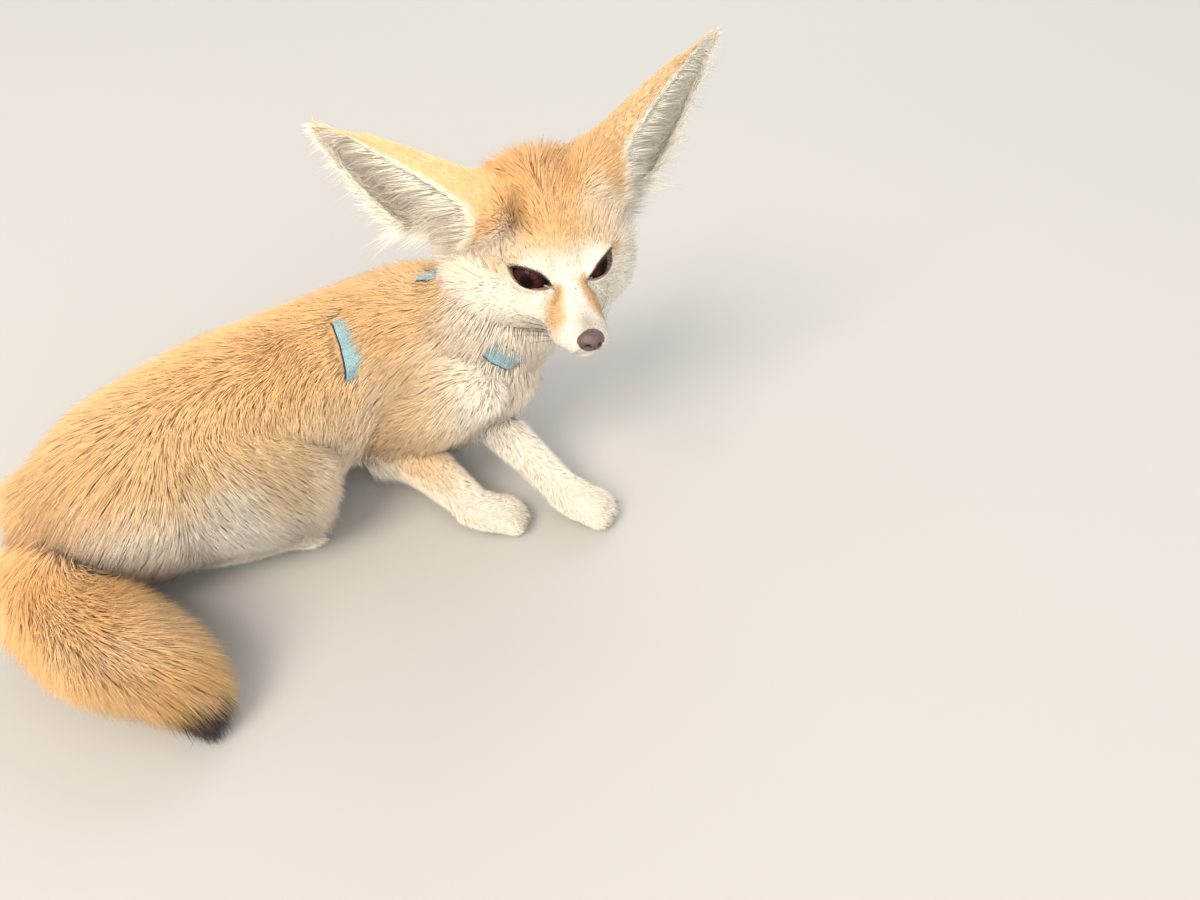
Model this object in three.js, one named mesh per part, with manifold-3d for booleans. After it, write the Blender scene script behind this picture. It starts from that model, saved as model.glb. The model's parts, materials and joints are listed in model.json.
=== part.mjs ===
// Fennec fox lying on its chest and haunches, head raised and turned to its right, tail curled
// round the near haunch. It wears a soft cloth harness. Millimetres, +Z up, floor at Z = 0.
// The trunk runs along +X towards the chest, and the face looks towards -Y.
import * as THREE from "three";
import { mergeVertices } from "three/addons/utils/BufferGeometryUtils.js";
import Module from "manifold-3d";

const wasm = await Module();
wasm.setup();

// Gap kept between two pieces that touch.
const GAP = 0.3;
// Length of one step along a lofted piece, and sides of its section.
const STEP = 25;
const SIDES = 10;

// Trunk, from rump to breast: x, y, z of the middle, half width, half height, out to the coat's tips.
const TRUNK = [
  [-172, -88, 46, 26, 30],
  [-150, -76, 48, 41, 45],
  [-123, -54, 50, 46, 51],
  [-104, -30, 50, 45, 51],
  [-84, -6, 51, 43, 47],
  [-58, 10, 53, 42, 49],
  [-30, 13, 58, 43, 52],
  [-8, 9, 62, 41, 50],
  [6, 5, 62, 34, 43],
  [14, 2, 60, 23, 31],
];
// Where the trunk is parted into rump, loin and chest, as shares of its stations.
const RUMP_END = 0.34;
const LOIN_END = 0.52;

// Neck, from inside the chest to inside the skull.
const NECK = [
  [-12, 10, 68, 38, 38],
  [6, 9, 88, 37, 38],
  [20, 10, 106, 35, 36],
  [30, 12, 122, 31, 32],
];

// Tail, a thick brush from the rump round to the front of the haunch.
const TAIL = [
  [-152, -76, 47, 24, 26],
  [-164, -87, 43, 25, 27],
  [-171, -102, 37, 25.5, 27],
  [-168, -118, 31, 27, 28],
  [-156, -130, 27, 27.5, 29],
  [-139, -141, 26, 28, 28.5],
  [-120, -149, 23, 25, 25.5],
  [-106, -156, 17, 19, 19],
  [-98, -163, 11, 12, 11],
];
const TAIL_CUTS = [0, 0.26, 0.52, 0.77, 1];
const TAIL_NAMES = ["tail_base", "tail_middle", "tail_end", "tail_tip"];

// Forelegs: shoulder to elbow, then elbow to wrist, then wrist to toes.
const FORELEGS = {
  right: {
    upper: [
      [0, -20, 68, 20, 22],
      [-20, -22, 52, 19, 21],
      [-44, -15, 33, 15, 18],
    ],
    fore: [
      [-54, -10, 24, 16, 20],
      [-36, -18, 22, 15, 17],
      [-19, -32, 18, 12.5, 14],
      [-4, -44, 13, 10.5, 12],
    ],
    paw: [
      [-5, -45, 12, 10.5, 12],
      [5, -48, 10, 12, 11],
      [15, -47, 8, 12.5, 9.5],
    ],
  },
  left: {
    upper: [
      [14, 30, 68, 19, 21],
      [6, 28, 51, 18, 20],
      [-5, 18, 35, 14, 17],
    ],
    fore: [
      [-8, 13, 30, 14, 16],
      [6, -3, 29, 12.5, 13.5],
      [25, -20, 21, 11.5, 12],
      [41, -35, 14, 10.5, 11],
    ],
    paw: [
      [40, -34, 13, 10.5, 12],
      [49, -40, 10.5, 12, 11],
      [58, -42, 8, 12.5, 9.5],
    ],
  },
};

// Hind legs, folded: hip to knee, knee to hock, hock to toes.
const HINDLEGS = {
  right: {
    thigh: [
      [-142, -74, 52, 26, 34],
      [-120, -72, 50, 30, 40],
      [-96, -66, 44, 29, 36],
      [-76, -60, 37, 21, 26],
    ],
    shank: [
      [-80, -62, 26, 16, 16],
      [-106, -70, 18, 14, 14],
      [-136, -76, 15, 12, 13],
    ],
    foot: [
      [-140, -74, 12, 11, 12.5],
      [-114, -70, 9, 10, 10.5],
      [-96, -62, 8, 11, 9.5],
      [-85, -57, 7, 11, 8.5],
    ],
  },
  left: {
    thigh: [
      [-140, -38, 54, 24, 34],
      [-122, -20, 52, 27, 40],
      [-106, 2, 46, 26, 36],
      [-94, 18, 38, 20, 26],
    ],
    shank: [
      [-98, 14, 26, 15, 16],
      [-114, -4, 18, 13, 14],
      [-132, -23, 15, 12, 13],
    ],
    foot: [
      [-133, -23, 12, 11, 12.5],
      [-118, -3, 9, 10, 10.5],
      [-102, 17, 8, 11, 9.5],
      [-94, 28, 7, 11, 8.5],
    ],
  },
};
const TOES = 4;
const TOE = { size: [7.5, 4.2, 5.6], level: 5.4, spread: 9, lead: 3.5, fan: 0.3 };
const CLAW = { radius: 1, length: 5, droop: 0.35 };

// Head frame: its zero lies between the eyes, x to the nose, y to the animal's left, z up.
const HEAD_PLACE = [44.5, -20.1, 127.1];
const HEAD_HEADING = THREE.MathUtils.degToRad(-67);
const HEAD_PITCH = THREE.MathUtils.degToRad(2.1);
const HEAD_ROLL = THREE.MathUtils.degToRad(-1.4);
// Head sections: x, half width, level of the widest place, top, bottom.
const HEAD = [
  [-62, 20, -5, 14, -20],
  [-50, 37, -9, 32.5, -33],
  [-40, 45, -12, 38, -40],
  [-30, 48, -14, 33, -42],
  [-20, 45, -15, 28, -41],
  [-12, 39, -15, 21.5, -38],
  [-5, 29, -14, 14.5, -35],
  [0, 21.5, -14, 9, -32],
  [6, 16, -15, 2, -30],
  [11, 13.8, -16.5, -2, -29.5],
  [17, 12.6, -18, -5.5, -28.8],
  [24, 11, -18.3, -8.5, -27.4],
  [30, 8.4, -18, -10.8, -25],
];
const MUZZLE_FROM = 8;
const MOUTH = { corner: 7, level: -24.2, slope: 0.07 };

const EYE = { place: [-4.7, 13.1, -0.6], radius: 8.5 };
const NOSE = { place: [31.2, 0, -15.6], size: [4.6, 5.9, 4.4] };
const NOSTRIL = { place: [34.6, 3.1, -16.2], radius: 1.3 };

// Ears, alike in shape: length above the skull, root sunk in it, half width, depth of the cup, and
// wall at the root. The cup wraps round by `wrap` degrees on each side, less `unwrap` at the tip.
const EAR = { length: 83.5, root: 9, halfWidth: 29, depth: 21, wall: 2.4, wrap: 129, unwrap: 32 };
// Outline of an ear: share of the widest at the root, height of the widest place, fullness above.
const EAR_LEAF = { root: 0.62, widest: 0.25, fullness: 1.55, blunt: 0.8 };
// Below a height of `below` the inner edge wraps on round the front, where the cup is flatter, and
// the outer edge draws back.
const EAR_ROOT = { below: 0.36, wrapOn: 62, drawBack: 0.35, flatten: 0.4 };
// Base in the head frame, lean outwards, lean forwards, and turn of the opening outwards, in degrees.
const EARS = {
  right: { base: [-29.7, -28.8, 17.8], splay: 51.4, forward: 5.9, turn: 51.7, side: -1 },
  left: { base: [-33.5, 26, 21.5], splay: 42.1, forward: 0.7, turn: 35.1, side: 1 },
};

// Harness of flat cloth bands, sunk in the coat.
const BAND = { thickness: 2.2, sink: 1.2, width: 13, open: 7 };
const GIRTH = { at: 0.475, lean: -0.3 };
const COLLAR = { at: 0.36, lean: -0.12 };
const BACK_STRAP = { from: 0.485, to: 0.66, width: 10 };

const COLOURS = {
  sand: 0xd9a45e,
  cream: 0xf1e3cd,
  russet: 0xc98c45,
  dark: 0x3c2b22,
  eye: 0x3a1d18,
  nose: 0x4b3538,
  cloth: 0x7fb9c0,
};

const up = new THREE.Vector3(0, 0, 1);

// A closed surface from rings of points, with a fan to a middle point at each end.
function skinOf(rings, first, last) {
  const around = rings[0].length;
  const points = rings.flat();
  points.push(first, last);
  const index = [];
  for (let i = 0; i + 1 < rings.length; i++) {
    for (let k = 0; k < around; k++) {
      const a = i * around + k;
      const b = i * around + ((k + 1) % around);
      index.push(a, b, a + around, b, b + around, a + around);
    }
  }
  const start = points.length - 2;
  const end = points.length - 1;
  const base = (rings.length - 1) * around;
  for (let k = 0; k < around; k++) {
    const next = (k + 1) % around;
    index.push(start, next, k);
    index.push(end, base + k, base + next);
  }
  const geometry = new THREE.BufferGeometry().setFromPoints(points);
  geometry.setIndex(index);
  return geometry;
}

// A closed mesh as a solid for joining and cutting; a mesh that faces inwards is turned round.
function solidOf(geometry) {
  const plain = new THREE.BufferGeometry();
  plain.setAttribute("position", geometry.getAttribute("position"));
  plain.setIndex(geometry.index);
  const merged = mergeVertices(plain, 1e-4);
  const triVerts = new Uint32Array(merged.index.array);
  const vertProperties = new Float32Array(merged.attributes.position.array);
  const made = new wasm.Manifold(new wasm.Mesh({ numProp: 3, vertProperties, triVerts }));
  if (made.volume() > 0) return made;
  for (let i = 0; i < triVerts.length; i += 3) {
    const held = triVerts[i];
    triVerts[i] = triVerts[i + 1];
    triVerts[i + 1] = held;
  }
  return new wasm.Manifold(new wasm.Mesh({ numProp: 3, vertProperties, triVerts }));
}

// The middle, directions and half sizes of a lofted piece at a share t of its stations.
function stationAt(stations, t) {
  const path = new THREE.CatmullRomCurve3(stations.map((s) => new THREE.Vector3(...s)));
  const sizes = new THREE.CatmullRomCurve3(
    stations.map((s) => new THREE.Vector3(s[3], s[4], 0)),
    false,
    "catmullrom",
  );
  const middle = path.getPoint(t);
  const along = path.getTangent(t);
  const side = new THREE.Vector3().crossVectors(along, up).normalize();
  const top = new THREE.Vector3().crossVectors(side, along);
  const size = sizes.getPoint(t);
  return { middle, along, side, top, halfWidth: size.x, halfHeight: size.y };
}

// The point at angle a of a station's oval section, moved out by grow and along by shift.
function sectionPoint(station, a, grow = 0, scale = 1, shift = 0) {
  return station.middle
    .clone()
    .addScaledVector(station.side, Math.cos(a) * (station.halfWidth + grow) * scale)
    .addScaledVector(station.top, Math.sin(a) * (station.halfHeight + grow) * scale)
    .addScaledVector(station.along, shift);
}

// An oval section carried along its stations from share `from` to share `to`. A round end is a
// quarter oval turned off the last section, and a flat end stands square to the path.
function loft(stations, grow, { from = 0, to = 1, round = [true, true], sides = SIDES } = {}) {
  const path = new THREE.CatmullRomCurve3(stations.map((s) => new THREE.Vector3(...s)));
  const steps = Math.max(2, Math.round((path.getLength() * (to - from)) / STEP));
  const angles = Array.from({ length: sides }, (_, k) => (2 * Math.PI * k) / sides);
  const rings = [];
  const ring = (station, scale, shift) => angles.map((a) => sectionPoint(station, a, grow, scale, shift));
  const capOf = (station) => 0.75 * Math.min(station.halfWidth, station.halfHeight) + grow;
  const start = stationAt(stations, from);
  const end = stationAt(stations, to);
  const turns = [Math.PI / 3, Math.PI / 6];
  if (round[0]) turns.forEach((b) => rings.push(ring(start, Math.cos(b), -capOf(start) * Math.sin(b))));
  for (let i = 0; i <= steps; i++) {
    const t = from + ((to - from) * i) / steps;
    let shift = 0;
    if (i === 0 && !round[0]) shift = -grow;
    if (i === steps && !round[1]) shift = grow;
    rings.push(ring(stationAt(stations, t), 1, shift));
  }
  if (round[1]) turns.reverse().forEach((b) => rings.push(ring(end, Math.cos(b), capOf(end) * Math.sin(b))));
  const first = start.middle.clone().addScaledVector(start.along, round[0] ? -capOf(start) : -grow);
  const last = end.middle.clone().addScaledVector(end.along, round[1] ? capOf(end) : grow);
  return solidOf(skinOf(rings, first, last));
}

// An egg-shaped ball with the given half sizes, at a place.
function ball(place, size, grow, segments = [10, 7]) {
  const geometry = new THREE.SphereGeometry(1, segments[0], segments[1]);
  geometry.scale(size[0] + grow, size[1] + grow, size[2] + grow);
  geometry.translate(...place);
  return solidOf(geometry);
}

// A box from its lowest to its highest corner.
function block(low, high) {
  const geometry = new THREE.BoxGeometry(high[0] - low[0], high[1] - low[1], high[2] - low[2]);
  geometry.translate((low[0] + high[0]) / 2, (low[1] + high[1]) / 2, (low[2] + high[2]) / 2);
  return solidOf(geometry);
}

// Turns and moves a solid by a three.js matrix.
function placed(solid, matrix) {
  return solid.transform(matrix.elements);
}

const headMatrix = new THREE.Matrix4().compose(
  new THREE.Vector3(...HEAD_PLACE),
  new THREE.Quaternion().setFromEuler(new THREE.Euler(HEAD_ROLL, HEAD_PITCH, HEAD_HEADING, "ZYX")),
  new THREE.Vector3(1, 1, 1),
);

// The whole head in its own frame: sections that are widest low down, at the cheeks.
function headShape(grow) {
  const sides = 16;
  const table = (pick) =>
    new THREE.CatmullRomCurve3(
      HEAD.map((s) => new THREE.Vector3(s[pick[0]], s[pick[1]], s[pick[2]])),
      false,
      "catmullrom",
    );
  const widths = table([0, 1, 2]);
  const heights = table([0, 3, 4]);
  const steps = 14;
  const rings = [];
  const ring = (t, scale, shift) => {
    const width = widths.getPoint(t);
    const height = heights.getPoint(t);
    return Array.from({ length: sides }, (_, k) => {
      const a = (2 * Math.PI * k) / sides;
      const rise = Math.sin(a) > 0 ? height.y - width.z : width.z - height.z;
      const y = Math.cos(a) * (width.y + grow) * scale;
      const z = width.z + Math.sin(a) * (rise + grow) * scale;
      return new THREE.Vector3(width.x + shift, y, z);
    });
  };
  rings.push(ring(0, 0.6, -5 - grow));
  for (let i = 0; i <= steps; i++) rings.push(ring(i / steps, 1, 0));
  rings.push(ring(1, 0.7, 2.5 + grow));
  const back = new THREE.Vector3(HEAD[0][0] - 7 - grow, 0, HEAD[0][2]);
  const front = new THREE.Vector3(HEAD.at(-1)[0] + 3.5 + grow, 0, HEAD.at(-1)[2]);
  return solidOf(skinOf(rings, back, front));
}

// The lower jaw's share of the head: all that lies below the mouth line, ahead of its corner.
function jawRegion(grow) {
  const region = block([MOUTH.corner - grow, -40, -60], [60, 40, MOUTH.level + grow]);
  const tilt = new THREE.Matrix4().makeRotationY(-MOUTH.slope);
  return placed(region, tilt);
}

// An ear: rings across a cupped leaf shape. Each ring runs along the back from edge to edge, and
// returns along the hollow front one wall's thickness inside.
function earShape({ base, splay, forward, turn, side }) {
  const lean = THREE.MathUtils.degToRad(splay);
  const tip = THREE.MathUtils.degToRad(forward);
  const axis = new THREE.Vector3(
    Math.sin(tip),
    side * Math.sin(lean) * Math.cos(tip),
    Math.cos(lean) * Math.cos(tip),
  );
  const across = new THREE.Vector3(0, side * Math.cos(lean), -Math.sin(lean));
  across.applyAxisAngle(axis, side * THREE.MathUtils.degToRad(turn)).normalize();
  const front = new THREE.Vector3().crossVectors(across, axis).multiplyScalar(side).normalize();
  if (front.x < 0) front.negate();
  const half = 7;
  const steps = 8;
  const last = 0.985;
  const rings = [];
  const ring = (s) => {
    const rise = -EAR.root + (EAR.length + EAR.root) * s;
    const middle = new THREE.Vector3(...base).addScaledVector(axis, rise);
    const width = EAR.halfWidth * earWidth(s);
    const depth = EAR.depth * (1 - 0.78 * s) * Math.min(1, 4 * (1 - s));
    const wall = EAR.wall * (1 - 0.55 * s);
    const low = 1 - THREE.MathUtils.smoothstep(s, 0, EAR_ROOT.below);
    const wrap = EAR.wrap - EAR.unwrap * s;
    const inner = THREE.MathUtils.degToRad(wrap + EAR_ROOT.wrapOn * low);
    const outer = THREE.MathUtils.degToRad(wrap * (1 - EAR_ROOT.drawBack * low));
    const place = (a, inset) => {
      const forward = -(Math.cos(a) - 0.3) * (depth - inset);
      return middle
        .clone()
        .addScaledVector(across, Math.sin(a) * (width - inset))
        .addScaledVector(front, forward > 0 ? forward * (1 - EAR_ROOT.flatten * low) : forward);
    };
    const angles = Array.from({ length: half }, (_, k) => -inner + ((inner + outer) * k) / (half - 1));
    const back = angles.map((a) => place(a, 0));
    const hollow = angles.reverse().map((a) => place(a * 0.97, wall));
    return [...back, ...hollow];
  };
  for (let i = 0; i <= steps; i++) rings.push(ring((last * i) / steps));
  const low = new THREE.Vector3(...base).addScaledVector(axis, -EAR.root - 0.5);
  const high = new THREE.Vector3(...base).addScaledVector(axis, EAR.length);
  return solidOf(skinOf(rings, low, high));
}

// An ear's half width as a share of its widest, from root to tip: broad low down, then a long
// taper to a blunt point.
function earWidth(s) {
  const { root, widest, fullness, blunt } = EAR_LEAF;
  const swell = root + (1 - root) * Math.sin((Math.PI / 2) * Math.min(1, s / widest));
  if (s < widest) return swell;
  return swell * Math.pow(1 - Math.pow((s - widest) / (1 - widest), fullness), blunt);
}

// A paw: its loft, four toes in front, and a claw on each toe.
function pawShape(stations, grow) {
  let paw = loft(stations, grow, { sides: 8 });
  const end = stationAt(stations, 1);
  for (let k = 0; k < TOES; k++) {
    const spread = ((k - (TOES - 1) / 2) / TOES) * 2;
    const inner = 1 - Math.abs(spread);
    const place = end.middle
      .clone()
      .addScaledVector(end.side, spread * TOE.spread)
      .addScaledVector(end.along, TOE.lead * inner);
    place.z = TOE.level;
    const toe = ball([0, 0, 0], TOE.size, grow, [6, 3]);
    const claw = new THREE.ConeGeometry(CLAW.radius + grow, CLAW.length, 4);
    claw.rotateZ(-Math.PI / 2 - CLAW.droop);
    claw.translate(TOE.size[0] + 0.5, 0, 0.6);
    const heading = Math.atan2(end.along.y, end.along.x) - spread * TOE.fan;
    const turn = new THREE.Matrix4().makeRotationZ(heading).setPosition(place);
    paw = paw.add(placed(toe.add(solidOf(claw)), turn));
  }
  return paw;
}

// A flat band round a loft at one of its stations: a thin rectangle carried round the oval. When it
// grows, its cut also opens outwards through the coat.
function bandRing(stations, { at, lean }, grow) {
  const station = stationAt(stations, at);
  const count = 14;
  const outer = -BAND.sink + (grow > 0 ? BAND.open : 0);
  const inner = -BAND.sink - BAND.thickness - grow;
  const half = BAND.width / 2 + grow;
  const corners = [
    [outer, -half],
    [outer, half],
    [inner, half],
    [inner, -half],
  ];
  const points = [];
  const index = [];
  for (let k = 0; k < count; k++) {
    const a = (2 * Math.PI * k) / count;
    const drift = lean * Math.sin(a) * station.halfHeight;
    corners.forEach(([out, shift]) => points.push(sectionPoint(station, a, out, 1, shift - drift)));
    corners.forEach((_, c) => {
      const here = k * 4 + c;
      const beside = k * 4 + ((c + 1) % 4);
      const next = ((k + 1) % count) * 4;
      index.push(here, beside, next + c, beside, next + ((c + 1) % 4), next + c);
    });
  }
  const geometry = new THREE.BufferGeometry().setFromPoints(points);
  geometry.setIndex(index);
  return solidOf(geometry);
}

// The strap along the withers that joins the two bands: a thin rectangle carried along the top of
// the trunk and on to the nape.
function backStrap(grow) {
  const outer = -BAND.sink + (grow > 0 ? BAND.open : 0);
  const inner = -BAND.sink - BAND.thickness - grow;
  const half = BACK_STRAP.width / 2 + grow;
  const shares = [0, 1, 2, 3].map((i) => BACK_STRAP.from + ((BACK_STRAP.to - BACK_STRAP.from) * i) / 3);
  const stops = shares.map((t) => stationAt(TRUNK, t));
  stops.push(stationAt(NECK, COLLAR.at));
  const corner = (stop, out, across) =>
    sectionPoint(stop, Math.PI / 2, out).addScaledVector(stop.side, across);
  const rings = stops.map((stop) => [
    corner(stop, outer, -half),
    corner(stop, outer, half),
    corner(stop, inner, half),
    corner(stop, inner, -half),
  ]);
  const middleOf = (ring) => ring.reduce((sum, p) => sum.add(p), new THREE.Vector3()).divideScalar(4);
  return solidOf(skinOf(rings, middleOf(rings[0]), middleOf(rings.at(-1))));
}

// The pieces of the animal, each as a function of how far it has grown. Where two meet, the later
// one gives way to the earlier one, which grows by the gap for that cut.
const inHead = (shape) => placed(shape, headMatrix);
const mirrored = ([x, y, z], side) => [x, y * side, z];
const pieces = [];
const piece = (name, colour, shape, roughness = 0.9) => pieces.push({ name, colour, shape, roughness });

for (const [name, side] of [["right", -1], ["left", 1]]) {
  const size = [EYE.radius, EYE.radius, EYE.radius];
  const shape = (grow) => inHead(ball(mirrored(EYE.place, side), size, grow, [9, 6]));
  piece("eye_" + name, COLOURS.eye, shape, 0.15);
}
piece("nose", COLOURS.nose, (grow) => {
  let pad = ball(NOSE.place, NOSE.size, grow, [10, 7]);
  for (const side of [-1, 1]) {
    if (grow > 0) break;
    const hole = ball(mirrored(NOSTRIL.place, side), Array(3).fill(NOSTRIL.radius), 0, [6, 5]);
    pad = pad.subtract(hole);
  }
  return inHead(pad);
}, 0.5);
piece("lower_jaw", COLOURS.cream, (grow) => inHead(headShape(grow).intersect(jawRegion(grow))));
piece("muzzle", COLOURS.cream, (grow) =>
  inHead(headShape(grow).intersect(block([MUZZLE_FROM - grow, -60, -60], [60, 60, 60]))),
);
piece("head", COLOURS.sand, (grow) => inHead(headShape(grow)));
for (const name of ["right", "left"]) {
  piece("ear_" + name, COLOURS.sand, () => inHead(earShape(EARS[name])));
}
piece("harness_girth_band", COLOURS.cloth, (grow) => bandRing(TRUNK, GIRTH, grow), 0.8);
piece("harness_neck_band", COLOURS.cloth, (grow) => bandRing(NECK, COLLAR, grow), 0.8);
piece("harness_back_strap", COLOURS.cloth, backStrap, 0.8);
for (const name of ["right", "left"]) {
  const leg = FORELEGS[name];
  piece("forepaw_" + name, COLOURS.cream, (grow) => pawShape(leg.paw, grow));
  piece("forearm_" + name, COLOURS.cream, (grow) => loft(leg.fore, grow, { sides: 10 }));
  piece("upper_arm_" + name, COLOURS.sand, (grow) => loft(leg.upper, grow, { sides: 10 }));
}
for (const name of ["right", "left"]) {
  const leg = HINDLEGS[name];
  piece("hind_foot_" + name, COLOURS.cream, (grow) => pawShape(leg.foot, grow));
  piece("shank_" + name, COLOURS.cream, (grow) => loft(leg.shank, grow, { sides: 10 }));
  piece("thigh_" + name, COLOURS.sand, (grow) => loft(leg.thigh, grow));
}
TAIL_NAMES.forEach((name, i) => {
  const ends = { from: TAIL_CUTS[i], to: TAIL_CUTS[i + 1] };
  const round = [i === 0, i === TAIL_NAMES.length - 1];
  const colour = i === TAIL_NAMES.length - 1 ? COLOURS.dark : COLOURS.russet;
  piece(name, colour, (grow) => loft(TAIL, grow, { ...ends, round, sides: 12 }));
});
piece("neck", COLOURS.cream, (grow) => loft(NECK, grow));
piece("chest", COLOURS.sand, (grow) =>
  loft(TRUNK, grow, { from: LOIN_END, to: 1, round: [false, true], sides: 12 }),
);
piece("loin", COLOURS.sand, (grow) =>
  loft(TRUNK, grow, { from: RUMP_END, to: LOIN_END, round: [false, false], sides: 12 }),
);
piece("rump", COLOURS.sand, (grow) =>
  loft(TRUNK, grow, { from: 0, to: RUMP_END, round: [true, false], sides: 12 }),
);

// The largest body of a solid, without slivers that a cut has freed.
function mainBody(solid) {
  return solid.decompose().reduce((a, b) => (a.volume() > b.volume() ? a : b));
}

function apart(a, b) {
  const p = a.boundingBox();
  const q = b.boundingBox();
  return [0, 1, 2].some((i) => p.max[i] < q.min[i] || q.max[i] < p.min[i]);
}

const room = block([-400, -400, 0], [400, 400, 400]);
const solids = [];
pieces.forEach(({ shape }, i) => {
  let solid = shape(0).intersect(room);
  for (let j = 0; j < i; j++) {
    const cutter = pieces[j].shape(GAP);
    if (!apart(solid, cutter)) solid = solid.subtract(cutter);
  }
  solids.push(mainBody(solid));
});

// The origin is moved to the middle of the model's box, at the floor.
const low = [Infinity, Infinity];
const high = [-Infinity, -Infinity];
for (const solid of solids) {
  const box = solid.boundingBox();
  for (const i of [0, 1]) {
    low[i] = Math.min(low[i], box.min[i]);
    high[i] = Math.max(high[i], box.max[i]);
  }
}

const fox = new THREE.Group();
solids.forEach((solid, i) => {
  const { name, colour, roughness } = pieces[i];
  const made = solid.getMesh();
  const geometry = new THREE.BufferGeometry();
  geometry.setAttribute("position", new THREE.BufferAttribute(made.vertProperties, 3));
  geometry.setIndex(new THREE.BufferAttribute(made.triVerts, 1));
  geometry.translate(-(low[0] + high[0]) / 2, -(low[1] + high[1]) / 2, 0);
  geometry.computeVertexNormals();
  const material = new THREE.MeshStandardMaterial({ color: colour, roughness, metalness: 0 });
  const mesh = new THREE.Mesh(geometry, material);
  mesh.name = name;
  fox.add(mesh);
});

export default fox;
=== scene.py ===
# %% [markdown]
# # A fennec fox, lying down
# A life-size fennec lies on its chest and haunches, its head up and turned to its right. The packed
# model gives the frame: where each part of the body is, out to the tips of the coat. Here the body
# gets a skin inside that outline, and the coat, eyes, nose, whiskers, claws and harness on top.

# %% Load the frame
import json
import math
import bpy
import numpy as np
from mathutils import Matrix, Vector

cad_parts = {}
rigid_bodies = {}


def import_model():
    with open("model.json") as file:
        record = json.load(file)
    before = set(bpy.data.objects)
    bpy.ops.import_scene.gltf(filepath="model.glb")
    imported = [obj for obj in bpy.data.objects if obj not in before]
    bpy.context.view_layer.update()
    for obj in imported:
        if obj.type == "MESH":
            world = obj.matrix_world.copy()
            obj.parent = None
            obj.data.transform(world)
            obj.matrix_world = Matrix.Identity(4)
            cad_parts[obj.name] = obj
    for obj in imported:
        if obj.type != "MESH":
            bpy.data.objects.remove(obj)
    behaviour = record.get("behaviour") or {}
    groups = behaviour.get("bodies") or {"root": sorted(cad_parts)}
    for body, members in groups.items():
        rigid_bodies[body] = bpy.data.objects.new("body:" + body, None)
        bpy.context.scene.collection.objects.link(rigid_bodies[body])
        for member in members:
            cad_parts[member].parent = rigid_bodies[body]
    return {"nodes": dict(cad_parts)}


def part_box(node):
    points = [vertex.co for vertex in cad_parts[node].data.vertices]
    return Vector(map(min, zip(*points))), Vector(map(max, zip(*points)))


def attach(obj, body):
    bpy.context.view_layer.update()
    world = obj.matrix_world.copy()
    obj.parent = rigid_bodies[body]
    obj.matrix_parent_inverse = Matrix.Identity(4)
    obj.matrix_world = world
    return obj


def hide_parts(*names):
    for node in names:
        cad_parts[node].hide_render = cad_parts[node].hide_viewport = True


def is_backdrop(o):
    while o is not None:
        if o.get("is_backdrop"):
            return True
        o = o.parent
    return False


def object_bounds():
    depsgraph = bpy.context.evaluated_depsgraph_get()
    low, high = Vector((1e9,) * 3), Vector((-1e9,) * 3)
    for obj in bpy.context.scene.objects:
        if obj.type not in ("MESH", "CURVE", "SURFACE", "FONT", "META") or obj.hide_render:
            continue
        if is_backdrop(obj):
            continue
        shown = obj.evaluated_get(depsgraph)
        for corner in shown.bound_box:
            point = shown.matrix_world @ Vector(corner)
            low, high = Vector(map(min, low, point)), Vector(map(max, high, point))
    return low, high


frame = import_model()
cad_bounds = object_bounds()
MM = 0.001
print("frame:", len(frame["nodes"]), "nodes")

# %% [markdown]
# ## Small tools
# Blender wants colours in linear light, but people pick them as sRGB hex. One function turns the
# one into the other. The rest are short helpers for whole arrays of points: every surface below is
# worked out with numpy, all points at once, and only then put into a mesh.

# %% Colour and array helpers
def linear(code):
    """An sRGB hex colour as linear red, green, blue and alpha."""
    parts = np.array([int(code[i:i + 2], 16) for i in (0, 2, 4)]) / 255
    low = parts / 12.92
    high = ((parts + 0.055) / 1.055) ** 2.4
    return tuple(np.where(parts <= 0.04045, low, high)) + (1.0,)


def unit(v):
    """Vectors made one long, along the last axis."""
    return v / np.maximum(np.linalg.norm(v, axis=-1, keepdims=True), 1e-9)


def dot(a, b):
    """Sums of products along the last axis."""
    return (a * b).sum(-1)


def ramp(x, low, high):
    """0 below low, 1 above high, with a smooth rise between them; low may be the greater one."""
    t = np.clip((x - low) / (high - low), 0, 1)
    return t * t * (3 - 2 * t)


def bump(x, middle, width):
    """A bell curve: 1 at the middle, falling off over the width."""
    return np.exp(-(((x - middle) / width) ** 2))


def ripple(points, size, seed):
    """Soft noise from -1 to 1 over points: five sine waves of about the given size in random directions."""
    rng = np.random.default_rng(seed)
    waves = unit(rng.normal(size=(5, 3))) * rng.uniform(0.7, 1.5, (5, 1)) * 2 * np.pi / size
    phase = rng.uniform(0, 2 * np.pi, 5)
    return np.sin(points @ waves.T + phase).sum(-1) / 3


def folded(points):
    """Points with y made positive, so that both sides of the head are told as one."""
    return np.stack([points[..., 0], abs(points[..., 1]), points[..., 2]], -1)


def swirl(points, size, seed):
    """Three ripples, as a vector that drifts from place to place."""
    return np.stack([ripple(points, size, seed + k) for k in range(3)], -1)


print("middle grey is", np.round(linear("808080"), 3))

# %% [markdown]
# ## The camera
# The photo was taken from close by, standing, with the camera tipped 40 degrees down. Fitting the
# eyes, nose and ear tips to their real sizes gave the place of the camera and its lens. Points in
# this script are millimetres in the pose's own frame: x to the right of the picture, y away from
# the camera, z up from the floor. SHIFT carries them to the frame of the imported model, and is
# worked out from the eyes, which the model holds as balls.

# %% Head frame and shift
HEAD_PLACE = np.array([44.5, -20.1, 127.1])
HEAD_TURN = np.radians([-67, 2.1, -1.4])
EYE_PLACE = np.array([-4.7, 13.1, -0.6])
EYE_RADIUS = 8.5


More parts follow.
